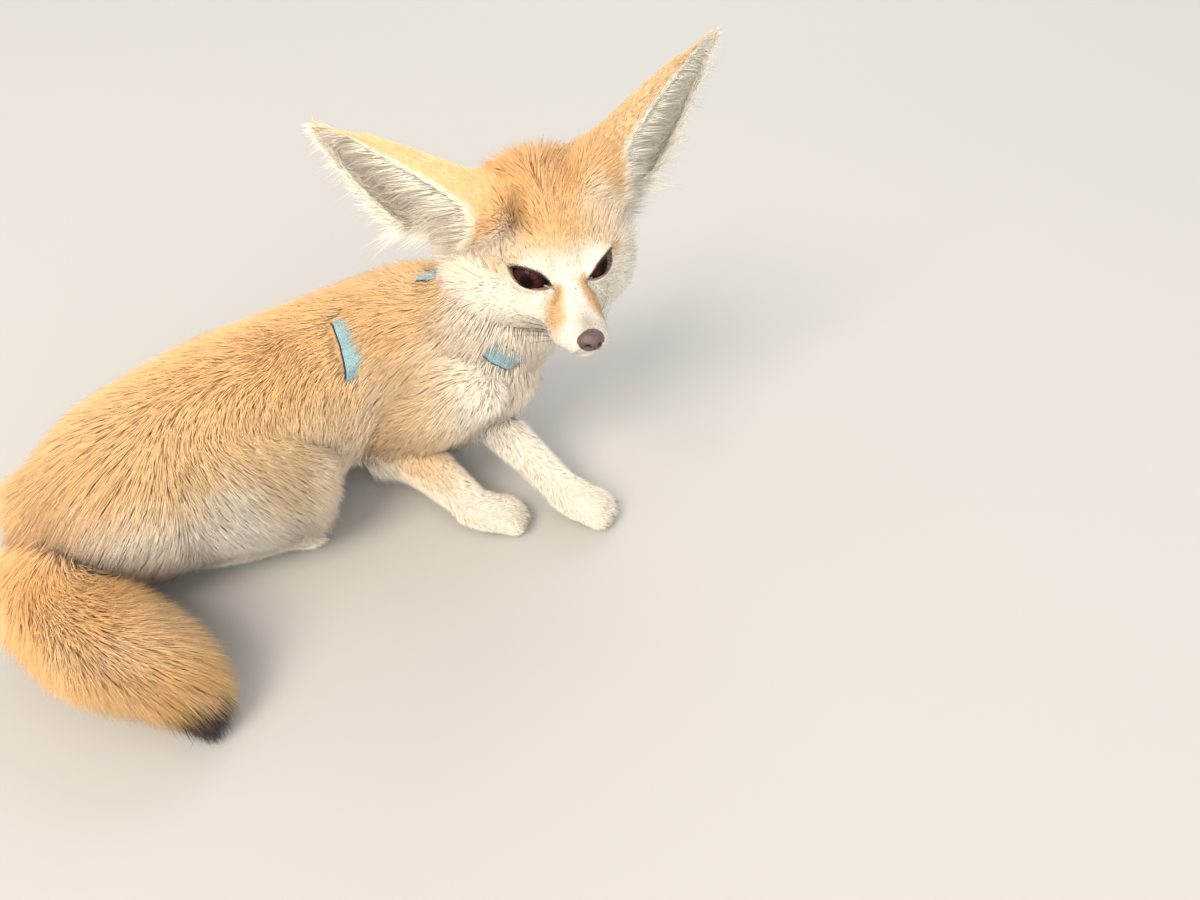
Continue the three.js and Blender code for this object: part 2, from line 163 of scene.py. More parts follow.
def turn_about(axis, angle):
    """The matrix that turns by an angle about one coordinate axis."""
    c, s = math.cos(angle), math.sin(angle)
    i, j = [(1, 2), (2, 0), (0, 1)][axis]
    made = np.eye(3)
    made[i, i] = made[j, j] = c
    made[i, j], made[j, i] = -s, s
    return made


HEAD_AXES = turn_about(2, HEAD_TURN[0]) @ turn_about(1, HEAD_TURN[1]) @ turn_about(0, HEAD_TURN[2])


def from_head(points):
    """Points of the head's own frame, x to the nose and y to the animal's left, in the pose's frame."""
    return points @ HEAD_AXES.T + HEAD_PLACE


def to_head(points):
    """Points of the pose's frame in the head's own frame."""
    return (points - HEAD_PLACE) @ HEAD_AXES


MIRROR = np.array([1, -1, 1])
eye_middles = from_head(np.array([EYE_PLACE * MIRROR, EYE_PLACE]))
boxes = [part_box(name) for name in ("eye_right", "eye_left")]
packed_middles = np.array([(np.array(low) + np.array(high)) / 2 / MM for low, high in boxes])
SHIFT = (packed_middles - eye_middles).mean(0) * [1, 1, 0]
print("shift to the packed frame, mm:", np.round(SHIFT, 2))

# %% Camera
CAMERA_PLACE = np.array([60, -392, 338])
CAMERA_DOWN = 40
FOCAL_PIXELS = 971
PHOTO_WIDTH = 1200

camera = bpy.data.objects.new("camera", bpy.data.cameras.new("camera"))
bpy.context.collection.objects.link(camera)
camera.data.sensor_width = 36
camera.data.lens = FOCAL_PIXELS * camera.data.sensor_width / PHOTO_WIDTH
camera.data.clip_start = 0.01
camera.location = (CAMERA_PLACE + SHIFT) * MM
camera.rotation_euler = (math.radians(90 - CAMERA_DOWN), 0, 0)
bpy.context.scene.camera = camera
print("lens, mm:", round(camera.data.lens, 2))

# %% [markdown]
# ## From points to a mesh
# A mesh is a list of points and a list of faces that name them. For a grid of rows and columns the
# faces follow from counting alone, so one function makes them for every piece.

# %% Mesh helpers
def grid_faces(rows, columns, closed=True):
    """Four-sided faces between neighbours of a grid, numbered row by row; closed joins the last column
    to the first."""
    row = np.arange(rows - 1)[:, None]
    column = np.arange(columns if closed else columns - 1)[None]
    beside = (column + 1) % columns
    corners = [row * columns + column, row * columns + beside]
    corners += [(row + 1) * columns + beside, (row + 1) * columns + column]
    return np.stack([np.broadcast_to(c, (rows - 1, column.size)) for c in corners], -1).reshape(-1, 4)


def cap_faces(rows, columns):
    """Fans of triangles that close the first and last row of a closed grid on two added points."""
    k = np.arange(columns)
    beside = (k + 1) % columns
    first, last = rows * columns, rows * columns + 1
    base = (rows - 1) * columns
    near = np.stack([np.full(columns, first), beside, k], -1)
    far = np.stack([np.full(columns, last), base + k, base + beside], -1)
    return np.vstack([near, far])


def closed_grid(grid):
    """Points and faces of a grid (rows, columns, 3) that is closed round and capped at both ends."""
    rows, columns = grid.shape[:2]
    points = np.vstack([grid.reshape(-1, 3), grid[0].mean(0), grid[-1].mean(0)])
    return points, [grid_faces(rows, columns), cap_faces(rows, columns)]


def faces_out(points, faces):
    """The faces, turned round if the volume they hold comes out negative."""
    volume = 0.0
    for group in faces:
        a = points[group[:, 0]]
        for k in range(1, group.shape[1] - 1):
            volume += dot(a, np.cross(points[group[:, k]], points[group[:, k + 1]])).sum()
    return faces if volume > 0 else [group[:, ::-1] for group in faces]


def joined(pieces):
    """Several (points, faces) as one."""
    points, faces, start = [], [], 0
    for p, groups in pieces:
        points.append(p)
        faces += [group + start for group in groups]
        start += len(p)
    return np.vstack(points), faces


FLOOR_GAP = 0.4


def above_floor(points):
    """Points with none lower than FLOOR_GAP over the floor."""
    return np.concatenate([points[..., :2], np.maximum(points[..., 2:], FLOOR_GAP)], -1)


def ball_grid(rows, columns, first, last):
    """A ball of radius 1 about x: (cos v, sin v cos a, sin v sin a), v from first to last, a all the way
    round. Also gives v and a."""
    v = np.linspace(first, last, rows)[:, None]
    a = np.linspace(0, 2 * np.pi, columns, endpoint=False)[None]
    return np.stack([np.cos(v) + 0 * a, np.sin(v) * np.cos(a), np.sin(v) * np.sin(a)], -1), v, a


def blob(place, size, axes):
    """A ball with a half size along each of three directions."""
    grid = ball_grid(14, 20, 0.08, np.pi - 0.08)[0]
    return closed_grid(grid * size @ axes + place)


def make_mesh(name, points, faces, smooth=True):
    """A mesh object from points in millimetres of the pose's frame and groups of faces."""
    mesh = bpy.data.meshes.new(name)
    corners = np.concatenate([group.ravel() for group in faces]).astype(np.int32)
    sizes = np.concatenate([np.full(len(group), group.shape[1]) for group in faces])
    starts = np.concatenate([[0], np.cumsum(sizes)[:-1]]).astype(np.int32)
    mesh.vertices.add(len(points))
    mesh.vertices.foreach_set("co", ((points + SHIFT) * MM).astype(np.float32).ravel())
    mesh.loops.add(len(corners))
    mesh.loops.foreach_set("vertex_index", corners)
    mesh.polygons.add(len(starts))
    mesh.polygons.foreach_set("loop_start", starts)
    mesh.update(calc_edges=True)
    mesh.polygons.foreach_set("use_smooth", np.full(len(starts), smooth))
    piece = bpy.data.objects.new(name, mesh)
    bpy.context.collection.objects.link(piece)
    return piece


def set_attribute(piece, name, values):
    """A number, or a row of four, for each point of a piece, for its material to read."""
    kind, field = ("FLOAT", "value") if values.ndim == 1 else ("FLOAT_COLOR", "color")
    attribute = piece.data.attributes.new(name, kind, "POINT")
    attribute.data.foreach_set(field, values.astype(np.float32).ravel())


def put_on(piece, material, slot, *nodes):
    """Material, body and replaced nodes of a finished piece, in one place; the slot is not used."""
    print(piece.name, "has", len(piece.data.polygons), "faces")
    piece.data.materials.append(material)
    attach(piece, "root")
    if nodes:
        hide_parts(*nodes)


def head_piece(name, points, faces, material, slot, *nodes):
    """A finished piece from points in the head's frame, which is given back."""
    piece = make_mesh(name, from_head(points), faces_out(points, faces))
    put_on(piece, material, slot, *nodes)
    return piece


print("faces of a closed grid of 3 by 4:", len(grid_faces(3, 4)))

# %% [markdown]
# ## The body's stations
# Each limb is an oval carried along a path. A row is one station: x, y, z of the middle, half width
# and half height, out to the coat's tips. The skin lies inside by the coat's depth, which differs
# from place to place: deep on neck and tail, almost nothing on the feet.

# %% Stations
TRUNK = [
    [-172, -88, 46, 26, 30], [-150, -76, 48, 41, 45], [-123, -54, 50, 46, 51],
    [-104, -30, 50, 45, 51], [-84, -6, 51, 43, 47], [-58, 10, 53, 42, 49],
    [-30, 13, 58, 43, 52], [-8, 9, 62, 41, 50], [6, 5, 62, 34, 43], [14, 2, 60, 23, 31],
]
NECK = [[-12, 10, 68, 38, 38], [6, 9, 88, 37, 38], [20, 10, 106, 35, 36], [30, 12, 122, 31, 32]]
TAIL = [
    [-152, -76, 47, 24, 26], [-164, -87, 43, 25, 27], [-171, -102, 37, 25.5, 27],
    [-168, -118, 31, 27, 28], [-156, -130, 27, 27.5, 29], [-139, -141, 26, 28, 28.5],
    [-120, -149, 23, 25, 25.5], [-106, -156, 17, 19, 19], [-98, -163, 11, 12, 11],
]
RIGHT_UPPER_ARM = [[0, -20, 68, 20, 22], [-20, -22, 52, 19, 21], [-44, -15, 33, 15, 18]]
RIGHT_FOREARM = [
    [-54, -10, 24, 16, 20], [-36, -18, 22, 15, 17], [-19, -32, 18, 12.5, 14], [-4, -44, 13, 10.5, 12],
]
RIGHT_FOREPAW = [[-5, -45, 12, 10.5, 12], [5, -48, 10, 12, 11], [15, -47, 8, 12.5, 9.5]]
LEFT_UPPER_ARM = [[14, 30, 68, 19, 21], [6, 28, 51, 18, 20], [-5, 18, 35, 14, 17]]
LEFT_FOREARM = [
    [-8, 13, 30, 14, 16], [6, -3, 29, 12.5, 13.5], [25, -20, 21, 11.5, 12], [41, -35, 14, 10.5, 11],
]
LEFT_FOREPAW = [[40, -34, 13, 10.5, 12], [49, -40, 10.5, 12, 11], [58, -42, 8, 12.5, 9.5]]
RIGHT_THIGH = [
    [-142, -74, 52, 26, 34], [-120, -72, 50, 30, 40], [-96, -66, 44, 29, 36], [-76, -60, 37, 21, 26],
]
RIGHT_SHANK = [[-80, -62, 26, 16, 16], [-106, -70, 18, 14, 14], [-136, -76, 15, 12, 13]]
RIGHT_FOOT = [
    [-140, -74, 12, 11, 12.5], [-114, -70, 9, 10, 10.5], [-96, -62, 8, 11, 9.5], [-85, -57, 7, 11, 8.5],
]
LEFT_THIGH = [
    [-140, -38, 54, 24, 34], [-122, -20, 52, 27, 40], [-106, 2, 46, 26, 36], [-94, 18, 38, 20, 26],
]
LEFT_SHANK = [[-98, 14, 26, 15, 16], [-114, -4, 18, 13, 14], [-132, -23, 15, 12, 13]]
LEFT_FOOT = [
    [-133, -23, 12, 11, 12.5], [-118, -3, 9, 10, 10.5], [-102, 17, 8, 11, 9.5], [-94, 28, 7, 11, 8.5],
]
# Each limb: its stations, the coat's depth from its first to its last station, and whether the hair
# lies along the stations (1) or against them (-1).
LIMBS = {
    "trunk": (TRUNK, (6.5, 6.5), -1),
    "neck": (NECK, (8, 9), -1),
    "tail": (TAIL, (9, 10, 12, 12, 7), 1),
    "right_upper_arm": (RIGHT_UPPER_ARM, (6, 5), 1),
    "right_forearm": (RIGHT_FOREARM, (5, 3.5), 1),
    "right_forepaw": (RIGHT_FOREPAW, (3, 2.4), 1),
    "left_upper_arm": (LEFT_UPPER_ARM, (6, 4.5), 1),
    "left_forearm": (LEFT_FOREARM, (4, 3.5), 1),
    "left_forepaw": (LEFT_FOREPAW, (3, 2.4), 1),
    "right_thigh": (RIGHT_THIGH, (6.5, 6), 1),
    "right_shank": (RIGHT_SHANK, (5, 3.5), 1),
    "right_foot": (RIGHT_FOOT, (3, 2), 1),
    "left_thigh": (LEFT_THIGH, (6.5, 6), 1),
    "left_shank": (LEFT_SHANK, (4.5, 3.5), 1),
    "left_foot": (LEFT_FOOT, (3, 2), 1),
}
PAWS = [name for name in LIMBS if name.endswith(("forepaw", "foot"))]
UP = np.array([0, 0, 1])


def spline(table, t):
    """A table's rows at shares t from 0 to 1: a Catmull-Rom curve through the rows, all columns at once."""
    table = np.asarray(table, float)
    last = len(table) - 1
    place = np.clip(t, 0, 1) * last
    i = np.minimum(place.astype(int), last - 1)
    u = (place - i)[:, None]
    rows = np.vstack([2 * table[0] - table[1], table, 2 * table[-1] - table[-2]])
    a, b, c, d = (rows[i + k] for k in range(4))
    return b + 0.5 * u * (c - a + u * (2 * a - 5 * b + 4 * c - d + u * (3 * (b - c) + d - a)))


def stations_at(table, t):
    """Middle, along, side, top and half sizes of a limb at shares t of its stations."""
    row = spline(table, t)
    step = 1e-3
    ahead = spline(table, np.clip(t + step, 0, 1))[:, :3]
    behind = spline(table, np.clip(t - step, 0, 1))[:, :3]
    along = unit(ahead - behind)
    side = unit(np.cross(along, UP))
    top = np.cross(side, along)
    return row[:, :3], along, side, top, row[:, 3], row[:, 4]


def depth_at(depths, t):
    """The coat's depth at shares t, in a straight line between the given values."""
    return np.interp(t, np.linspace(0, 1, len(depths)), depths)


LOFT_STEPS, LOFT_SIDES = 48, 36
CAP_STEPS = 7
BLUNT = 0.75


def loft(table, depths):
    """Ring i, corner k: middle(t) + side * cos(a) * half width + top * sin(a) * half height, both sizes
    less the coat's depth, with t along the limb and a round it. A quarter oval rounds each end."""
    bend = np.linspace(0, np.pi / 2, CAP_STEPS + 1)[1:] * 0.97
    t = np.concatenate([np.zeros(CAP_STEPS), np.linspace(0, 1, LOFT_STEPS), np.ones(CAP_STEPS)])
    b = np.concatenate([-bend[::-1], np.zeros(LOFT_STEPS), bend])
    middle, along, side, top, wide, high = stations_at(table, t)
    depth = depth_at(depths, t)
    wide, high = wide - depth, high - depth
    cap = BLUNT * np.minimum(wide, high)
    a = np.linspace(0, 2 * np.pi, LOFT_SIDES, endpoint=False)
    shrink = np.cos(b)[:, None, None]
    across = np.cos(a)[None, :, None] * wide[:, None, None] * shrink * side[:, None]
    rise = np.sin(a)[None, :, None] * high[:, None, None] * shrink * top[:, None]
    grid = (middle + along * (cap * np.sin(b))[:, None])[:, None] + across + rise
    return closed_grid(grid)


print("limbs:", len(LIMBS))

# %% [markdown]
# ## Paws
# A fox's paw has four toes that carry it. The toes are egg shapes, side by side across the front of
# the paw, the two middle ones a little ahead. They are melted into the skin with the rest.

# %% Toes
TOE_COUNT = 4
TOE_SIZE = np.array([7.0, 3.8, 5.0])
TOE_LEVEL = 5.4
TOE_SPREAD = 9
TOE_AHEAD = 3.5
TOE_FAN = 0.3


def toe_frames(name):
    """Middles and headings of the four toes of a paw."""
    middle, along, side = (v[0] for v in stations_at(LIMBS[name][0], np.ones(1))[:3])
    spread = (np.arange(TOE_COUNT) - (TOE_COUNT - 1) / 2) / TOE_COUNT * 2
    place = middle + np.outer(spread * TOE_SPREAD, side) + np.outer(TOE_AHEAD * (1 - abs(spread)), along)
    place[:, 2] = TOE_LEVEL
    heading = math.atan2(along[1], along[0]) - spread * TOE_FAN
    return place, heading


toes = [toe for name in PAWS for toe in zip(*toe_frames(name))]
print("toes:", len(toes))

# %% [markdown]
# ## The body under the coat
# The limbs overlap where they meet. A voxel remesh melts them into one closed surface, and a few
# rounds of smoothing turn the creases between them into the soft hollows of a real body. This is
# quicker than sewing the grids together, and no seam is left.

# %% Melt the body
VOXEL = 2.3
SMOOTHING = 9

shapes = [loft(table, depths) for table, depths, _ in LIMBS.values()]
shapes += [blob(place, TOE_SIZE, turn_about(2, heading).T) for place, heading in toes]
shapes = [(points, faces_out(points, faces)) for points, faces in shapes]


def melted(name, pieces, voxel, rounds):
    """Points and faces of one closed surface round all the pieces, smoothed."""
    raw = make_mesh(name, *joined(pieces))
    remesh = raw.modifiers.new("melt", "REMESH")
    remesh.mode = "VOXEL"
    remesh.voxel_size = voxel * MM
    smooth = raw.modifiers.new("soften", "SMOOTH")
    smooth.factor = 0.5
    smooth.iterations = rounds
    made = bpy.data.meshes.new_from_object(raw.evaluated_get(bpy.context.evaluated_depsgraph_get()))
    points = np.empty(len(made.vertices) * 3, np.float32)
    made.vertices.foreach_get("co", points)
    made.calc_loop_triangles()
    faces = np.empty(len(made.loop_triangles) * 3, np.int32)
    made.loop_triangles.foreach_get("vertices", faces)
    bpy.data.objects.remove(raw)
    bpy.data.meshes.remove(made)
    return points.reshape(-1, 3).astype(float) / MM - SHIFT, faces.reshape(-1, 3)


body_points, body_faces = melted("body", shapes, VOXEL, SMOOTHING)
body_points = above_floor(body_points)
print("body:", len(body_faces), "triangles")

# %% [markdown]
# ## The head
# The head is one grid: ovals from the back of the skull to the nose, each with its own width,
# widest level, top and bottom. The coat is deep on the cheeks, thin on the crown and almost nothing
# on the muzzle, so the skin lies far inside the outline at the cheeks and close to it at the nose.

# %% Head sections
# x, half width, level of the widest place, top, bottom.
HEAD = [
    [-62, 20, -5, 14, -20], [-50, 37, -9, 32.5, -33], [-40, 45, -12, 38, -40], [-30, 48, -14, 33, -42],
    [-20, 45, -15, 28, -41], [-12, 39, -15, 21.5, -38], [-5, 29, -14, 14.5, -35],
    [0, 21.5, -14, 9, -32], [6, 16, -15, 2, -30], [11, 13.8, -16.5, -2, -29.5],
    [17, 12.6, -18, -5.5, -28.8], [24, 11, -18.3, -8.5, -27.4], [30, 8.4, -18, -10.8, -25],
]
HEAD_X = [row[0] for row in HEAD]
# The coat's depth at the sides, on top and below, at each section.
SIDE_DEPTH = [6, 7.5, 8.5, 9.5, 9, 7, 3.6, 1.7, 1.1, 1.0, 0.9, 0.7, 0.5]
TOP_DEPTH = [6, 4.5, 4, 3.5, 3, 2.4, 1.8, 1.4, 1, 0.8, 0.7, 0.6, 0.5]
UNDER_DEPTH = [6, 7, 8, 8.5, 8, 7, 5, 3.2, 2.2, 1.6, 1.3, 1.1, 1]


def head_coat_depth(x, a):
    """The coat's depth at length x and angle a: the side's depth, turning to the top's or the under's."""
    side, top, under = (np.interp(x, HEAD_X, d) for d in (SIDE_DEPTH, TOP_DEPTH, UNDER_DEPTH))
    share = np.sin(a) ** 2
    return side * (1 - share) + np.where(np.sin(a) > 0, top, under) * share


def head_oval(t, a):
    """Points of the head's ovals: y = cos(a) * half width, z = level + sin(a) * rise, less the depth."""
    row = spline(HEAD, t.ravel()).reshape(*t.shape, 5)
    x, wide, level, top, bottom = np.moveaxis(row, -1, 0)
    depth = head_coat_depth(x, a)
    rise = np.where(np.sin(a) > 0, top - level, level - bottom)
    return np.stack([x, np.cos(a) * (wide - depth), level + np.sin(a) * (rise - depth)], -1)


print("head without the nose, mm:", HEAD_X[-1] - HEAD_X[0])

# %% [markdown]
# ## Eyes and lids
# An eye is a ball set deep in the head, and the lids lie on it. Each eye has its own frame: the
# gaze g straight out, c from the inner to the outer corner, and u up. In it the lids are the ball's
# surface raised by their thickness, and the opening is an almond. Skin within a few millimetres of
# the almond is moved to the lids, and skin inside it goes behind the ball.

# %% Eye frame and almond
OUTER_CORNER = np.array([-4.9, 24.9, 1.9])
INNER_CORNER = np.array([5.9, 9.7, -2.8])
OPENING_DRIFT = np.array([0, 1.0, 0])
HALF_OPENING = np.linalg.norm(OUTER_CORNER - INNER_CORNER) / 2
LID = 0.9
UPPER_RISE = 4.9
LOWER_DROP = 3.3


def eye_frame(side):
    """Middle of the opening and the directions gaze, corner and up; side -1 is the right eye. No face is
    quite even: here both openings sit a millimetre to the animal's left."""
    mirror = np.array([1, side, 1])
    middle = (OUTER_CORNER + INNER_CORNER) / 2
    corner = unit(OUTER_CORNER - INNER_CORNER)
    gaze = unit(middle - EYE_PLACE)
    gaze = unit(gaze - corner * dot(gaze, corner))
    up = np.cross(gaze, corner)
    up = up if up[2] > 0 else -up
    return middle * mirror + OPENING_DRIFT, np.stack([gaze, corner, up]) * mirror


def almond(c):
    """Upper and lower edge of the opening at places c along it: bows that meet at both corners, the
    upper one highest towards the outer corner, and the inner corner drawn down to a point."""
    share = np.clip(c / HALF_OPENING, -1, 1)
    bow = 1 - share**2
    droop = -0.8 * ramp(-share, 0.4, 1)
    upper = UPPER_RISE * bow**0.6 * (1 - 0.03 * share) + droop
    lower = -LOWER_DROP * bow**0.62 * (1 + 0.06 * share) + droop
    return upper, lower


def eye_places(points, side):
    """Head points in one eye's frame, with the distance out of the almond's edge (below 0 inside it), and
    1 for those above it, 0 for those below."""
    middle, axes = eye_frame(side)
    g, c, u = np.moveaxis((points - middle) @ axes.T, -1, 0)
    upper, lower = almond(c)
    beyond = np.maximum(abs(c) - HALF_OPENING, 0)
    rise = np.maximum(u - upper, lower - u)
    gap = np.where(beyond > 0, np.hypot(beyond, np.maximum(rise, 0)), rise)
    return g, c, u, np.where(g < -12, 99, gap), 1.0 * (u > (upper + lower) / 2)


DRAWN_OUT = 1.22
LEAST_RISE = 18**0.5


def ball_front(c, u, radius):
    """How far the ball's front lies along the gaze at (c, u), drawn out towards the corners and never less
    than LEAST_RISE before the ball's middle."""
    behind = np.linalg.norm((OUTER_CORNER + INNER_CORNER) / 2 - EYE_PLACE)
    rest = radius**2 - (c / DRAWN_OUT) ** 2 - u**2
    return np.sqrt(np.maximum(rest, LEAST_RISE**2)) - behind


print("opening, mm:", round(2 * HALF_OPENING, 1), "by", UPPER_RISE + LOWER_DROP)

# %% Shape the face
MOUTH = {"corner": 7, "level": -24.2, "slope": 0.07, "depth": 1.1}
PAD_SWELL = 1.5
# Soft spots that both sides of the face have: place and reach along x, y and z.
SPOTS = {
    "whisker pad": [(19, 9.4, -20.5), (8, 5, 5)],
    "whisker roots": [(15, 10.5, -20.5), (3, 2, 1.3)],
    "brow": [(0, 15, 7), (6, 7, 4.5)],
    "outer streak": [(-9.5, 27, 0.5), (3.6, 3.6, 2.4)],
}


def spot(points, name):
    """1 in the middle of a spot and its mirror image, falling off as a bell along each axis."""
    place, size = np.array(SPOTS[name])
    return bump(folded(points), place, size).prod(-1)


def mouth_share(x, z):
    """1 on the line where the lips meet, falling off over half a millimetre."""
    level = MOUTH["level"] + MOUTH["slope"] * x
    return bump(z, level, 0.75) * ramp(x, MOUTH["corner"] - 3, MOUTH["corner"] + 2)


def with_lids(points, side):
    """Head points with those near one eye moved to its lids, or behind the ball inside the opening."""
    middle, axes = eye_frame(side)
    g, c, u, gap, above = eye_places(points, side)
    near = g > -10
    lid = ball_front(c, u, EYE_RADIUS + LID)
    fold = 0.4 * bump(gap, 3.4, 0.9) - 0.4 * bump(gap, 2.2, 0.6)
    lid = lid + fold * above * ramp(abs(c), 9, 5)
    behind = ball_front(c, u, EYE_RADIUS) - 3.0
    hold = np.where(gap < 0, 1.0, ramp(gap, 6.0, 1.2)) * near
    g = g + (np.where(gap < 0, behind, lid) - g) * hold
    return np.stack([g, c, u], -1) @ axes + middle


def shaped_face(points):
    """Head points with whisker pads, mouth line and both eyes worked in."""
    x, y, z = np.moveaxis(points, -1, 0)
    out = unit(np.stack([0 * x, y, z + 16], -1))
    pad = spot(points, "whisker pad")
    points = points + out * (pad * PAD_SWELL - mouth_share(x, z) * MOUTH["depth"])[..., None]
    for side in (-1, 1):
        points = with_lids(points, side)
    return points


HEAD_ROWS = 190
HEAD_COLUMNS = 280
rows_t = np.linspace(0, 1, HEAD_ROWS)[:, None] + np.zeros((1, HEAD_COLUMNS))
columns_a = np.zeros((HEAD_ROWS, 1)) + np.linspace(0, 2 * np.pi, HEAD_COLUMNS, endpoint=False)
head_grid = shaped_face(head_oval(rows_t, columns_a))
head_points, head_faces = closed_grid(head_grid)
head_faces = faces_out(head_points, head_faces)
print("head:", len(head_points), "points")

# %% [markdown]
# ## The ears
# A fennec's ear is a thin sheet of gristle rolled into a deep cup, broad low down and tapering to a
# blunt tip. The outside and the hollow are two sheets of one closed grid, a wall's thickness apart.

# %% Ears
EAR = {"length": 83.5, "root": 9, "half_width": 29, "depth": 21, "wrap": 129, "unwrap": 32}
EAR_OUTLINE = {"root": 0.62, "widest": 0.25, "fullness": 1.55, "blunt": 0.8}
EAR_POSE = {
    "right": {"base": (-29.7, -28.8, 17.8), "splay": 51.4, "forward": 5.9, "turn": 51.7, "side": -1},
    "left": {"base": (-33.5, 26, 21.5), "splay": 42.1, "forward": 0.7, "turn": 35.1, "side": 1},
}
EAR_ROOT = {"below": 0.36, "wrap_on": 62, "draw_back": 0.35, "flatten": 0.4}
EAR_COAT = 1.0
EAR_WALL = 1.2
EAR_SUNK = -0.09


def turned(v, axis, angle):
    """A vector turned about a unit axis by an angle."""
    c, s = math.cos(angle), math.sin(angle)
    return v * c + np.cross(axis, v) * s + axis * dot(axis, v) * (1 - c)


def ear_frame(pose):
    """Base, axis to the tip, across to the outer edge, and front out of the opening."""
    lean, tip, side = math.radians(pose["splay"]), math.radians(pose["forward"]), pose["side"]
    axis = np.array([math.sin(tip), side * math.sin(lean) * math.cos(tip), math.cos(lean) * math.cos(tip)])
    across = np.array([0, side * math.cos(lean), -math.sin(lean)])
    across = unit(turned(across, axis, side * math.radians(pose["turn"])))
    front = unit(np.cross(across, axis) * side)
    return np.array(pose["base"]), axis, across, front if front[0] > 0 else -front


def ear_width(s):
    """Half width as a share of the widest: it swells to the widest place, then tapers to the tip."""
    root, widest = EAR_OUTLINE["root"], EAR_OUTLINE["widest"]
    swell = root + (1 - root) * np.sin(np.pi / 2 * np.minimum(1, s / widest))
    above = np.clip((s - widest) / (1 - widest), 0, 1)
    return swell * (1 - above ** EAR_OUTLINE["fullness"]) ** EAR_OUTLINE["blunt"]


def ear_sheet(pose, s, a, inset):
    """Points of an ear at height s and place a from -1, inner edge, to 1, outer edge: across the cup by
    sin, into its depth by cos. Near the root the inner edge wraps on round the front, where the cup is
    flatter, and the outer edge draws back."""
    base, axis, across, front = ear_frame(pose)
    rise = (EAR["length"] + EAR["root"]) * s - EAR["root"]
    wide = EAR["half_width"] * ear_width(s) - inset
    deep = EAR["depth"] * (1 - 0.78 * s) * np.minimum(1, 4 * (1 - s)) - inset
    low = ramp(s, EAR_ROOT["below"], 0)
    wrap = EAR["wrap"] - EAR["unwrap"] * s
    reach = np.where(a < 0, wrap + EAR_ROOT["wrap_on"] * low, wrap * (1 - EAR_ROOT["draw_back"] * low))
    angle = a * np.radians(reach)
    out = np.sin(angle) * np.maximum(wide, 0.2)
    forward = -(np.cos(angle) - 0.3) * np.maximum(deep, 0.2)
    forward = forward * np.where(forward > 0, 1 - EAR_ROOT["flatten"] * low, 1)
    return base + rise[..., None] * axis + out[..., None] * across + forward[..., None] * front


EAR_ROWS, EAR_HALF = 96, 44
EAR_TIP = 0.988
# Height, place from edge to edge and hollow or not (1 or 0) of each point of an ear's grid.
EAR_RISE = np.linspace(EAR_SUNK, EAR_TIP, EAR_ROWS)
EAR_EDGE = np.sin(np.linspace(-1, 1, EAR_HALF) * np.pi / 2)
EAR_S, EAR_A = np.meshgrid(EAR_RISE, np.append(EAR_EDGE, EAR_EDGE[::-1]), indexing="ij")
EAR_HOLLOW = np.tile(np.repeat([0.0, 1.0], EAR_HALF), (EAR_ROWS, 1))


def ear_grid(pose):
    """Rings that run up the outside from edge to edge and return down the hollow; the edge is rolled."""
    inset = EAR_COAT + EAR_HOLLOW * EAR_WALL * (1 - 0.55 * EAR_S)
    return ear_sheet(pose, EAR_S, EAR_A * (1 - 0.012 * EAR_HOLLOW), inset)


ears = {name: closed_grid(ear_grid(pose)) for name, pose in EAR_POSE.items()}
ears = {name: (points, faces_out(points, faces)) for name, (points, faces) in ears.items()}
print("ear points:", len(ears["right"][0]))

# %% [markdown]
# ## One skin
# Body, head and ears become one object. Where they overlap, the coat covers the join.

# %% Join the skin
skin_pieces = [(body_points, [body_faces]), (from_head(head_points), head_faces)]
skin_pieces += [(from_head(points), faces) for points, faces in ears.values()]
skin_points, skin_faces = joined(skin_pieces)
skin = make_mesh("fox_skin", skin_points, skin_faces)
FLESH = [name for name in frame["nodes"] if not name.startswith(("eye_", "nose", "harness_"))]
print("skin:", sum(len(g) * (g.shape[1] - 2) for g in skin_faces), "triangles")

# %% [markdown]
# ## Where on the body is a point?
# Colour, length and lie of the coat all depend on which limb a point belongs to and where along it.
# Each limb is sampled along its path, and a point belongs to the limb whose oval it lies deepest
# in. Near a border the neighbours are blended, so the lie of the coat turns smoothly.

# %% Find limbs
LIMB_NAMES = list(LIMBS)
SAMPLES = 40


def limb_coordinates(points):
    """For each point and limb: how far out of the limb's oval it lies, the share along it, the angle round
    it, and the limb's direction there."""
    count = len(points)
    out, share, angle = (np.empty((count, len(LIMBS))) for _ in range(3))
    direction = np.empty((count, len(LIMBS), 3))
    for j, (table, _, lie) in enumerate(LIMBS.values()):
        t = np.linspace(0, 1, SAMPLES)
        middle, along, side, top, wide, high = stations_at(table, t)
        gap = points[:, None] - middle
        x = dot(gap, side) / wide
        y = dot(gap, top) / high
        z = dot(gap, along) / ((wide + high) / 2)
        reach = x**2 + y**2 + z**2
        best = reach.argmin(1)
        pick = np.arange(count), best
        out[:, j] = np.sqrt(reach[pick])
        share[:, j] = t[best]
        angle[:, j] = np.arctan2(y[pick], x[pick])
        direction[:, j] = along[best] * lie
    return out, share, angle, direction


BLEND = 0.14


